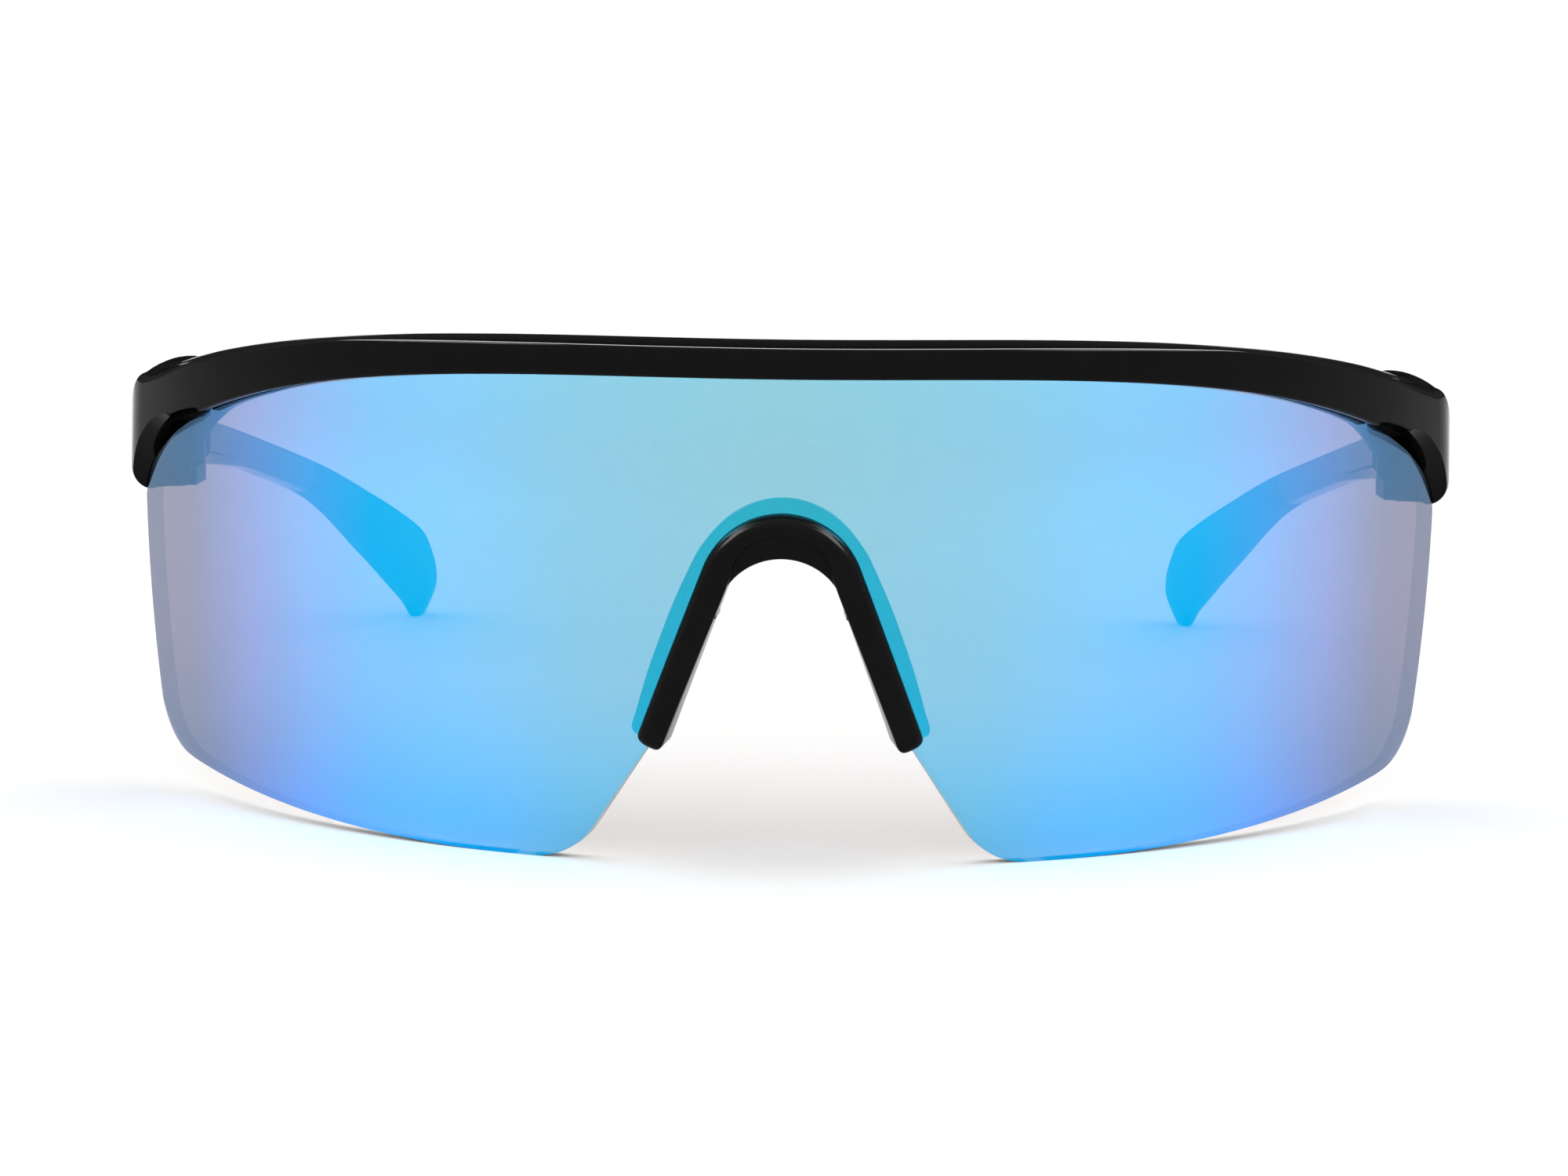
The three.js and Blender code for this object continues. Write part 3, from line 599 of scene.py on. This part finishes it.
# %% Section of the bar
def bar_section(width, bottom, top, hang, lift, soft, shrink=0.0):
    """Counter-clockwise from the lower front. x grows from the rear wall to the face."""
    face_x = width - shrink
    under, over = bottom + shrink, top - shrink
    low, high = blend(0.45, 2.4, soft), blend(0.4, 1.3, soft)
    front = arc(face_x - low, under + low, low, -90, 0, 7)
    front += arc(face_x - high, over - lift - high, high, 0, 78, 8)
    run = front[-1][0] - 0.9 - shrink
    crown = [(front[-1][0] - run * t, over - lift * (1 - t) ** 2) for t in even(0, 1, 7)[1:]]
    rear = arc(0.9 + shrink, over - 0.9, 0.9, 90, 180, 6)
    rear += arc(0.5 + shrink, under - hang + 0.5, 0.5, 180, 270, 5)
    return front + crown + rear


def bar_ring(station, shrink=0.0):
    """The outer face grows down into the endpiece along the curve, the rear wall only in the bend."""
    u, outer, inner, back = station
    bottom = blend(brow_lower(u), END_BOTTOM, ease(u, 78.5, 84.5))
    rear_bottom = blend(brow_lower(0.92 * u) - 0.3, END_BOTTOM, ease(back, 0, 0.6))
    top = blend(brow_upper(u), END_TOP, ease(back, 0.2, 1))
    lift = blend(0.3, 2.0, ease(u, 50, 84)) * (1 - 0.7 * ease(back, 0.2, 0.9))
    across = outer - inner
    direction = across.normalized()
    ring = []
    for x, z in bar_section(across.length, bottom, top, bottom - rear_bottom, lift, ease(u, 76, 86), shrink):
        reach = x - fall_back(z) * (1 - back)
        ring.append(Vector((inner.x + direction.x * reach, inner.y + direction.y * reach, z)))
    return ring


def cutter_slab(name, lower, upper, front, back, rows=4):
    points, faces, _ = shield_slab(lower, upper, front, back, rows)
    return mesh_object(name, points, faces)


def post(name, radius, low, high, x, y, sides=64):
    rings = [[Vector((x + radius * math.cos(2 * math.pi * i / sides), y + radius * math.sin(2 * math.pi * i / sides), z))
              for i in range(sides)] for z in (low, high)]
    return mesh_object(name, *skin(rings))


def block(name, outline, low, high):
    return mesh_object(name, *skin([[Vector((x, y, z)) for x, y in outline] for z in (low, high)]))


def mirrored_outline(outline):
    return [(-x, y) for x, y in outline]


print("bar section has", len(bar_section(5.9, 50, 57.6, 0.9, 0.3, 0)), "points")

# %% Build the bar
HINGE_X, HINGE_Y, HINGE_R = 69.9, 50.4, 2.2
HINGE_LOW, HINGE_HIGH, LEAF = 34.4, 42.6, 3.4
LEAF_LOW = (HINGE_LOW + HINGE_HIGH - LEAF) / 2
LEAF_HIGH = LEAF_LOW + LEAF
SLOPE = 3.2


def cut_lens_room(bar):
    lower = lower_edge()
    upper = upper_edge(lower)
    grown = [p + sideways(upper, i) * GAP for i, p in enumerate(upper)]
    floor_line = [Vector((p.x * 0.98, 25)) for p in grown]
    tool = cutter_slab("lens_room", both_halves(floor_line), both_halves(grown), GAP, -SHIELD - GAP)
    combine(bar, tool, "DIFFERENCE")


def cut_corner_slots(bar):
    count = 40
    edge = [free_corner(t) for t in even(0, 1, count)]
    for side in (1, -1):
        upper = []
        for i, p in enumerate(edge):
            open_by = GAP + 1.1 * max(0.0, math.sin(math.pi * min(1.0, i / (0.6 * count)))) ** 0.7
            moved = p + sideways(edge, i) * open_by
            upper.append(Vector((side * moved.x, moved.y)))
        lower = [Vector((p.x, 20)) for p in upper]
        combine(bar, cutter_slab("slot", lower, upper, 6, -SHIELD - GAP), "DIFFERENCE")
    reach = [GAP + SLOPE * ease(t, 0, 0.42) * (1 - 0.48 * t) for t in even(0, 1, count)]
    slope = carried(edge, lambda i: [(-1, -0.1), (GAP - 0.1, -0.1), (reach[i], 2.03), (-1, 2.03)])
    combine(bar, mesh_object("slope", *skin(slope)), "DIFFERENCE")
    other = [[Vector((-p.x, p.y, p.z)) for p in ring] for ring in slope]
    combine(bar, mesh_object("slope", *skin(other)), "DIFFERENCE")


def add_lugs(bar):
    """Two lugs each side, with the room for the arm's leaf and the screw cut through."""
    root = [(HINGE_X - 1.65, HINGE_Y - 4.4), (HINGE_X + HINGE_R, HINGE_Y - 4.4),
            (HINGE_X + HINGE_R, HINGE_Y), (HINGE_X - HINGE_R, HINGE_Y)]
    for side in (1, -1):
        x = side * HINGE_X
        outline = root if side == 1 else mirrored_outline(root)
        combine(bar, post("turn", HINGE_R + GAP, LEAF_LOW - GAP, LEAF_HIGH + GAP, x, HINGE_Y), "DIFFERENCE")
        for low, high in ((HINGE_LOW, LEAF_LOW - GAP), (LEAF_HIGH + GAP, HINGE_HIGH)):
            lug = post("lug", HINGE_R, low, high, x, HINGE_Y)
            combine(lug, block("root", outline, low, high), "UNION")
            combine(lug, post("bore", 1.0, low - 1, high + 1, x, HINGE_Y), "DIFFERENCE")
            combine(bar, lug, "UNION")
        combine(bar, post("seat", 1.6, HINGE_HIGH - 0.4, HINGE_HIGH + 2, x, HINGE_Y), "DIFFERENCE")


def build_bar():
    stations, end = bar_plan()
    half = [bar_ring(s) for s in stations] + [bar_ring(end, 0.3)]
    left = [[Vector((-p.x, p.y, p.z)) for p in ring] for ring in reversed(half[1:])]
    bar = mesh_object("brow_bar", *skin(left + half))
    cut_lens_room(bar)
    cut_corner_slots(bar)
    add_lugs(bar)
    crisp(bar, 28)
    bar.data.materials.clear()
    bar.data.materials.append(polished)
    return bar


brow_bar = build_bar()
settle(brow_bar, "front", "brow_frame")

# %% [markdown]
# ## The nosepiece
# A real nosepiece is pressed over the edge of the cut-out: a lip in front, a slot for the lens and a
# flange behind, all one section carried round the arch and down the legs. The lip's outer edge has a
# broad bevel that catches the light on both shoulders, and its ends are rounded. Inside the crown an
# arched web, the saddle, makes the part that rests on the nose.

# %% Section of the nosepiece
LIP, LIP_DEPTH, FLANGE_DEPTH, FLANGE_REACH = 3.4, 1.47, 2.1, 1.15
SADDLE_RADIUS, SADDLE_TOP, SADDLE_STEP = 7.0, 34.3, 0.6


def nose_section(width, inner_edge, swell, shrink=0.0):
    """x runs across the leg, away from the nose, and y in front of the lens."""
    half = width / 2 - shrink
    start = -inner_edge + shrink
    front = LIP_DEPTH + GAP - shrink
    rear = -SHIELD - GAP
    back = rear - FLANGE_DEPTH + shrink
    inner = arc(start + 0.3, front - 0.3, 0.3, 180, 90, 4)
    outer = arc(half - 1.35, front - 1.35, 1.35, 84, 14, 8) + [(half, 0.4)]
    lens_side = [(half - 0.05, 0.12), (half - 0.3, 0.05), (-0.15, 0.05), (-0.15, rear)]
    reach = half + FLANGE_REACH + 0.7 * swell
    flange = [(reach, rear)] + arc(reach - 0.6, back + 0.6, 0.6, 0, -90, 4)
    return inner + outer + lens_side + flange + arc(start + 0.5, back + 0.5, 0.5, 270, 180, 4)


def build_nosepiece():
    half = nose_line(36, 40)
    down = (half[-1] - half[-2]).normalized()
    rounded = [(half[-1] + down * (math.sin(a) - 1), a) for a in even(0, math.radians(80), 6)[1:]]
    straight = [p for p in half if (half[-1] - p).length > 1.02]
    line = straight + [p for p, _ in rounded]
    shrinks = [0.0] * len(straight) + [1 - math.cos(a) for _, a in rounded]
    middle = len(line) - 1

    def section_at(i):
        place = abs(i - middle)
        width = LIP - 0.35 * place / middle
        inner_edge = blend(0.45, width / 2, ease(place, 10, 40))
        swell = ease(place, 25, 50) * (1 - 0.6 * ease(place, 58, 76))
        return nose_section(width, inner_edge, swell, 0.8 * shrinks[place])

    return mesh_object("nosepiece", *skin(carried(both_halves(line), section_at)))


def build_saddle():
    """A wider arch behind the lip. Its lower side is a circle that runs into the legs."""
    centre = Vector((0, SADDLE_TOP - SADDLE_RADIUS))
    full = nose_line(36, 40)

    def reach_at(i):
        away = full[i] - centre
        inward = away.dot(sideways(full, i))
        return inward - math.sqrt(inward ** 2 - away.length_squared + SADDLE_RADIUS ** 2)

    line = [p for i, p in enumerate(full) if p.y > 28 and reach_at(i) > LIP / 2 - 0.35]
    front, back = LIP_DEPTH - SADDLE_STEP, -SHIELD - FLANGE_DEPTH

    def section_at(i):
        inner, r = -reach_at(i), 0.3
        return (arc(inner + r, front - r, r, 180, 90, 3) + [(-0.2, front), (-0.2, back)]
                + arc(inner + r, back + r, r, 270, 180, 3))

    half = carried(line, section_at)
    left = [[Vector((-p.x, p.y, p.z)) for p in ring] for ring in reversed(half[1:])]
    return mesh_object("saddle", *skin(left + half))


nosepiece = build_nosepiece()
combine(nosepiece, build_saddle(), "UNION")
crisp(nosepiece, 30)
nosepiece.data.materials.clear()
nosepiece.data.materials.append(half_gloss)
settle(nosepiece, "front", "nose_bridge")

# %% [markdown]
# ## The nose pads
# Behind each leg a soft blade flares outwards as it goes back, so that it lies flat on the side of the
# nose. It is a loft along the leg whose depth swells and fades, which makes the round ends.


# %% Build the pads
def pad_section(share):
    front = -SHIELD - 2 * GAP - FLANGE_DEPTH
    depth = 6.6 * math.sin(math.pi * (0.12 + 0.8 * share)) ** 0.5
    lean, half = 2.1 * depth / 6.6, 1.1
    rim = arc(lean, front - depth + 0.75, 0.75, 180, 360, 8)
    inner = [(-half - 0.3, front), (-half - 0.15 + 0.22 * lean, front - 0.3 * depth),
             (-half + 0.62 * lean, front - 0.62 * depth)]
    outer = [(half + 0.62 * lean - 0.2, front - 0.62 * depth), (half + 0.25 * lean, front - 0.3 * depth),
             (half + 0.3, front)]
    return inner + rim + outer


def build_pad():
    line = [p for p in nose_line(30, 70) if p.y < 30.2]
    count = len(line) - 1
    return mesh_object("pad_left", *skin(carried(line, lambda i: pad_section(i / count))))


pad_left = build_pad()
round_edges(pad_left, 0.25, segments=3, degrees=45)
crisp(pad_left, 40)
pad_left.data.materials.append(soft)
pad_right = mirror_object(pad_left, "pad_right")
for side, pad in (("left", pad_left), ("right", pad_right)):
    settle(pad, "front", f"nose_pad_{side}")

# %% [markdown]
# ## The arms
# Each arm leans in and down from the hinge to the tip. From the side it is deep at the head, narrow
# behind it and broad again at the tip, and its inner face has a soft rim above and a broad chamfer
# below. Its edges are smooth curves through a few heights, and the section is drawn between them at
# each depth. The head is hollowed for the hinge, and a round leaf on the axis fills the gap between
# the frame's two lugs.

# %% Profiles of the arm
ARM_START, ARM_LENGTH, TIP_START = REAR_Y + GAP, 109.4, 106.0
ARM_END = ARM_START + ARM_LENGTH
STRAIGHT_FROM, INNER_HINGE, INNER_TIP, FIRST_SLOPE = 112.0, 67.8, 48.9, 0.05


def smooth_curve(knots):
    """A curve through (share of the length, height) that turns as little as it can between them."""
    places = [blend(ARM_START, ARM_END, share) for share, _ in knots]
    heights = [z for _, z in knots]
    points = [Vector((y, z)) for y, z in zip(places, heights)]
    first, last = points[0], points[-1]
    padded = [first] + points + [last]
    dense = []
    for a, b, c, d in zip(padded, padded[1:], padded[2:], padded[3:]):
        for t in even(0, 1, 24)[:-1]:
            dense.append(0.5 * (2 * b + (c - a) * t + (2 * a - 5 * b + 4 * c - d) * t * t
                                + (3 * b - a - 3 * c + d) * t ** 3))
    dense.append(last)

    def height(y):
        for p, q in zip(dense, dense[1:]):
            if p.x <= y <= q.x and q.x > p.x:
                return blend(p.y, q.y, (y - p.x) / (q.x - p.x))
        return dense[0].y if y < dense[0].x else dense[-1].y

    return height


arm_top = smooth_curve([(0, 42.4), (0.04, 41.3), (0.27, 35.7), (0.54, 28), (0.75, 20.4), (0.86, 16.1),
                        (0.935, 12.7), (0.97, 9.6), (1, 5.5)])
arm_bottom = smooth_curve([(0, 34.1), (0.02, 33.6), (0.055, 35.3), (0.22, 32.7), (0.36, 29.4), (0.58, 22.4),
                           (0.785, 11.5), (0.9, 5), (0.95, 2.1), (0.97, 0.5), (0.985, -0.6), (1, 0.2)])


def arm_inner(y):
    run, rest = STRAIGHT_FROM - ARM_START, ARM_END - STRAIGHT_FROM
    end_slope = (INNER_HINGE - INNER_TIP - FIRST_SLOPE * run / 2) / (run / 2 + rest)
    t = min(y - ARM_START, run)
    bent = FIRST_SLOPE * t + (end_slope - FIRST_SLOPE) * t * t / (2 * run)
    return INNER_HINGE - bent - end_slope * max(0.0, y - STRAIGHT_FROM)


def arm_thickness(y):
    return blend(7.5, 3.6, ease(y, ARM_START, ARM_START + 20))


def arm_section(y, shrink=0.0):
    inner, top = arm_inner(y) + shrink, arm_top(y) - shrink
    outer = inner + arm_thickness(y) - 2 * shrink
    bottom = max(0.0, arm_bottom(y) + shrink)
    height = top - bottom
    r = min(0.8, height / 5, (outer - inner) / 4)
    cx = min(0.55 * (outer - inner), 0.3 * height)
    cz = cx * blend(1.0, 2.2, ease(y, 90, 140))
    under = [(inner + cx, bottom)] + arc(outer - r, bottom + r, r, -90, 0, 5)
    over = arc(outer - r, top - r, r, 0, 90, 5) + [(inner + 0.9, top)] + arc(inner + 0.55, top - 0.55, 0.5, 90, 150, 4)
    edge = [(inner + 0.02, top - 1.0), (inner, top - 1.2), (inner, bottom + cz + 0.25), (inner + 0.06, bottom + cz)]
    low = [(inner + cx * t, bottom + cz * (1 - t) ** 1.15) for t in (0.25, 0.5, 0.75, 0.9)]
    return [Vector((x, y, z)) for x, z in under + over + edge + low]


print("arm is", round(ARM_LENGTH, 1), "mm long and", round(arm_top(130) - arm_bottom(130), 1), "mm deep near the tip")


# %% Build the arms
def cut_hinge_room(arm):
    swing = HINGE_R + GAP
    inside, front = HINGE_X - 2 * swing, ARM_START - 1
    low, high = HINGE_LOW - 3, HINGE_HIGH + 3
    outline = [(inside, front), (HINGE_X + swing, front), (HINGE_X + swing, HINGE_Y), (HINGE_X, HINGE_Y),
               (HINGE_X, HINGE_Y + 3.2), (inside, HINGE_Y + 3.2)]
    combine(arm, block("pocket", outline, low, high), "DIFFERENCE")
    combine(arm, post("swing", swing, low, high, HINGE_X, HINGE_Y), "DIFFERENCE")


def add_leaf(arm):
    inner = HINGE_X - HINGE_R + GAP
    outline = [(inner, HINGE_Y), (HINGE_X + HINGE_R, HINGE_Y), (HINGE_X + HINGE_R, HINGE_Y + 5),
               (inner, HINGE_Y + 5)]
    leaf = post("leaf", HINGE_R, LEAF_LOW, LEAF_HIGH, HINGE_X, HINGE_Y)
    combine(leaf, block("web", outline, LEAF_LOW, LEAF_HIGH), "UNION")
    combine(arm, leaf, "UNION")
    combine(arm, post("bore", 1.0, LEAF_LOW - 1, LEAF_HIGH + 1, HINGE_X, HINGE_Y), "DIFFERENCE")


def build_arm():
    depths = [ARM_START] + [ARM_START + d for d in (0.12, 0.4)] + even(ARM_START + 0.9, TIP_START, 90)
    shrinks = [0.35, 0.1, 0.0] + [0.0] * 91
    arm = mesh_object("arm_left", *skin([arm_section(y, s) for y, s in zip(depths, shrinks)]))
    cut_hinge_room(arm)
    add_leaf(arm)
    crisp(arm, 26)
    arm.data.materials.clear()
    arm.data.materials.append(polished)
    return arm


arm_left = build_arm()
arm_right = mirror_object(arm_left, "arm_right")
for side, arm in (("left", arm_left), ("right", arm_right)):
    settle(arm, f"arm_{side}", f"temple_{side}")

# %% [markdown]
# ## The grip tips
# The soft tips carry the arm's own section on to the end, so they are the same loft, started a hair
# behind the arm. The last millimetres shrink along a quarter circle, which rounds the end all over.


# %% Build the tips
def build_tip():
    start, rounding, end = TIP_START + 0.08, 1.6, ARM_END - 0.06
    body = [(start, 0.12), (start + 0.12, 0.0)]
    body += [(y, 0.0) for y in even(start + 0.5, end - rounding, 60)]
    body += [(end - rounding + rounding * math.sin(a), rounding * 0.9 * (1 - math.cos(a)))
             for a in even(0, math.radians(84), 9)[1:]]
    tip = mesh_object("tip_left", *skin([arm_section(y, s) for y, s in body]))
    crisp(tip, 30)
    tip.data.materials.append(soft)
    return tip


tip_left = build_tip()
tip_right = mirror_object(tip_left, "tip_right")
for side, tip in (("left", tip_left), ("right", tip_right)):
    settle(tip, f"arm_{side}", f"temple_tip_{side}")

# %% [markdown]
# ## The hinge screws
# Each screw is turned steel: a shank, a low head with a bevelled rim and a slot. Turned steel shows fine
# rings round its axis; here its roughness and bump come from a fine noise.


# %% Screw material
def steel_material():
    made, tree = new_material("turned_steel")
    link = tree.links.new
    place = node(tree, "ShaderNodeTexCoord").outputs["Object"]
    rings = noise(tree, place, 3000, 2)
    stains = noise(tree, place, 400, 4)
    colours = ramp(tree, [(0.3, (0.36, 0.36, 0.37)), (0.7, (0.58, 0.58, 0.59))])
    link(stains.outputs["Fac"], colours.inputs["Fac"])
    steel = node(tree, "ShaderNodeBsdfPrincipled")
    steel.inputs["Metallic"].default_value = 1.0
    link(colours.outputs["Color"], steel.inputs["Base Color"])
    link(span(tree, rings.outputs["Fac"], 0.22, 0.42), steel.inputs["Roughness"])
    bump = node(tree, "ShaderNodeBump", Distance=4e-6)
    link(rings.outputs["Fac"], bump.inputs["Height"])
    link(bump.outputs["Normal"], steel.inputs["Normal"])
    link(steel.outputs[0], node(tree, "ShaderNodeOutputMaterial").inputs["Surface"])
    return made


turned_steel = steel_material()
print("made", turned_steel.name)


# %% Build the screws
def build_screw():
    bottom, seat = HINGE_LOW + GAP, HINGE_HIGH - 0.1
    top = seat + 0.8
    profile = [(0.55, bottom), (0.7, bottom + 0.15)]
    pitch = 0.35
    z = bottom + 0.4
    while z < HINGE_LOW + 2.2:
        profile += [(0.7, z), (0.6, z + pitch / 2)]
        z += pitch
    profile += [(0.7, z), (0.7, seat), (1.25, seat), (1.3, seat + 0.05), (1.3, top - 0.25), (1.22, top - 0.08),
                (1.05, top)]
    sides = 48
    rings = [[Vector((HINGE_X + r * math.cos(2 * math.pi * i / sides), HINGE_Y + r * math.sin(2 * math.pi * i / sides), z))
              for i in range(sides)] for r, z in profile]
    screw = mesh_object("screw_left", *skin(rings))
    w = 0.175
    slot = [(HINGE_X - w, HINGE_Y - 2), (HINGE_X + w, HINGE_Y - 2), (HINGE_X + w, HINGE_Y + 2), (HINGE_X - w, HINGE_Y + 2)]
    combine(screw, block("slot", slot, top - 0.4, top + 1), "DIFFERENCE")
    crisp(screw, 30)
    screw.data.materials.clear()
    screw.data.materials.append(turned_steel)
    return screw


screw_left = build_screw()
screw_right = mirror_object(screw_left, "screw_right")
for side, screw in (("left", screw_left), ("right", screw_right)):
    settle(screw, "front", f"hinge_screw_{side}")

# %% [markdown]
# ## The table
# A plain pale surface that runs far beyond the glasses. It isn't part of them.
# A little noise in its colour and roughness keeps it from looking like a number.


# %% Build the table
def build_table():
    count, reach = 64, 9000
    ring = [Vector((reach * math.cos(2 * math.pi * i / count), reach * math.sin(2 * math.pi * i / count), 0))
            for i in range(count)]
    table = mesh_object("table", [Vector((0, 0, 0))] + ring, [(0, i + 1, (i + 1) % count + 1) for i in range(count)])
    made, tree = new_material("white_table")
    link = tree.links.new
    place = node(tree, "ShaderNodeTexCoord").outputs["Object"]
    grain = noise(tree, place, 8, 3)
    colours = ramp(tree, [(0.3, (0.86, 0.86, 0.855)), (0.7, (0.90, 0.90, 0.90))])
    link(grain.outputs["Fac"], colours.inputs["Fac"])
    paper = node(tree, "ShaderNodeBsdfPrincipled")
    paper.inputs["Specular IOR Level"].default_value = 0.1
    link(colours.outputs["Color"], paper.inputs["Base Color"])
    link(span(tree, grain.outputs["Fac"], 0.7, 0.9), paper.inputs["Roughness"])
    link(paper.outputs[0], node(tree, "ShaderNodeOutputMaterial").inputs["Surface"])
    table.data.materials.append(made)
    return table


table = build_table()
print("table spans", round(table.dimensions.x, 1), "m")

# %% [markdown]
# ## Light
# Glossy black and a mirror show what is round them, so the light is mostly a bright, even room in front
# and overhead that grows dark behind the glasses: that keeps the top of the bar black. A long strip
# overhead, seen only in reflections, draws the line of light along the bar's upper edge.


# %% Room and lamps
def build_room():
    world = bpy.data.worlds.new("studio")
    bpy.context.scene.world = world
    world.use_nodes = True
    tree = world.node_tree
    tree.nodes.clear()
    link = tree.links.new
    parts = node(tree, "ShaderNodeSeparateXYZ")
    link(node(tree, "ShaderNodeTexCoord").outputs["Generated"], parts.inputs[0])
    depth = node(tree, "ShaderNodeMapRange")
    set_inputs(depth, {"From Min": -1.0, "From Max": 1.0})
    link(parts.outputs["Y"], depth.inputs["Value"])
    walls = ramp(tree, [(0.0, (1.0, 1.0, 1.0)), (0.55, (1.0, 1.0, 1.0)), (0.78, (0.35, 0.35, 0.35)),
                        (0.93, (0.03, 0.03, 0.03))])
    link(depth.outputs["Result"], walls.inputs["Fac"])
    height = node(tree, "ShaderNodeMapRange")
    set_inputs(height, {"From Min": 0.05, "From Max": 0.9, "To Min": 1.08, "To Max": 1.7})
    link(parts.outputs["Z"], height.inputs["Value"])
    room = node(tree, "ShaderNodeBackground")
    link(walls.outputs["Color"], room.inputs["Color"])
    link(height.outputs["Result"], room.inputs["Strength"])
    seen = node(tree, "ShaderNodeBackground", Strength=1.0)
    seen.inputs["Color"].default_value = (1, 1, 1, 1)
    path = node(tree, "ShaderNodeLightPath")
    mix = node(tree, "ShaderNodeMixShader")
    link(path.outputs["Is Camera Ray"], mix.inputs["Fac"])
    link(room.outputs[0], mix.inputs[1])
    link(seen.outputs[0], mix.inputs[2])
    link(mix.outputs[0], node(tree, "ShaderNodeOutputWorld").inputs["Surface"])


def soft_box(name, place, target, size, power, mirrored_only=False):
    """An area lamp. One that is only mirrored draws highlights and leaves the table alone."""
    lamp = bpy.data.lights.new(name, "AREA")
    lamp.shape = "RECTANGLE"
    lamp.size, lamp.size_y = size
    lamp.energy = power
    made = bpy.data.objects.new(name, lamp)
    made.location = place
    made.rotation_euler = (Vector(target) - Vector(place)).to_track_quat("-Z", "Y").to_euler()
    made.visible_diffuse = not mirrored_only
    made.visible_glossy = mirrored_only
    bpy.context.scene.collection.objects.link(made)
    return made


build_room()
strip = soft_box("overhead_strip", (0.0, 0.12, 0.9), (0, 0, 0.03), (1.8, 0.28), 110.0, mirrored_only=True)
for side in (-1, 1):
    soft_box(f"side_lamp_{side + 2}", (side * 0.9, -0.5, 0.9), (0, 0, 0.03), (0.5, 0.5), 22.0, mirrored_only=True)
print("lamps:", strip.name, "and two side lamps")

# %% [markdown]
# ## Camera
# A long lens from a little above, nearly square on. The angles are turned one after another: heading
# about the upright axis, then the tilt down, and last a slight roll about the line of sight.

# %% Place the camera
HEADING, TILT, ROLL = 0.92, 9.72, 0.58
camera = bpy.data.objects.new("camera", bpy.data.cameras.new("camera"))
camera.data.sensor_width = 36
camera.data.lens = 130.5
turn = Matrix.Rotation(math.radians(HEADING), 4, "Z") @ Matrix.Rotation(math.radians(90 - TILT), 4, "X")
turn = turn @ Matrix.Rotation(math.radians(ROLL), 4, "Z")
camera.matrix_world = Matrix.Translation(to_frame((9.9, -600.0, 133.9))) @ turn
bpy.context.scene.collection.objects.link(camera)
bpy.context.scene.camera = camera
bpy.context.scene.view_settings.view_transform = "Standard"
print("camera at", [round(v, 3) for v in camera.location])
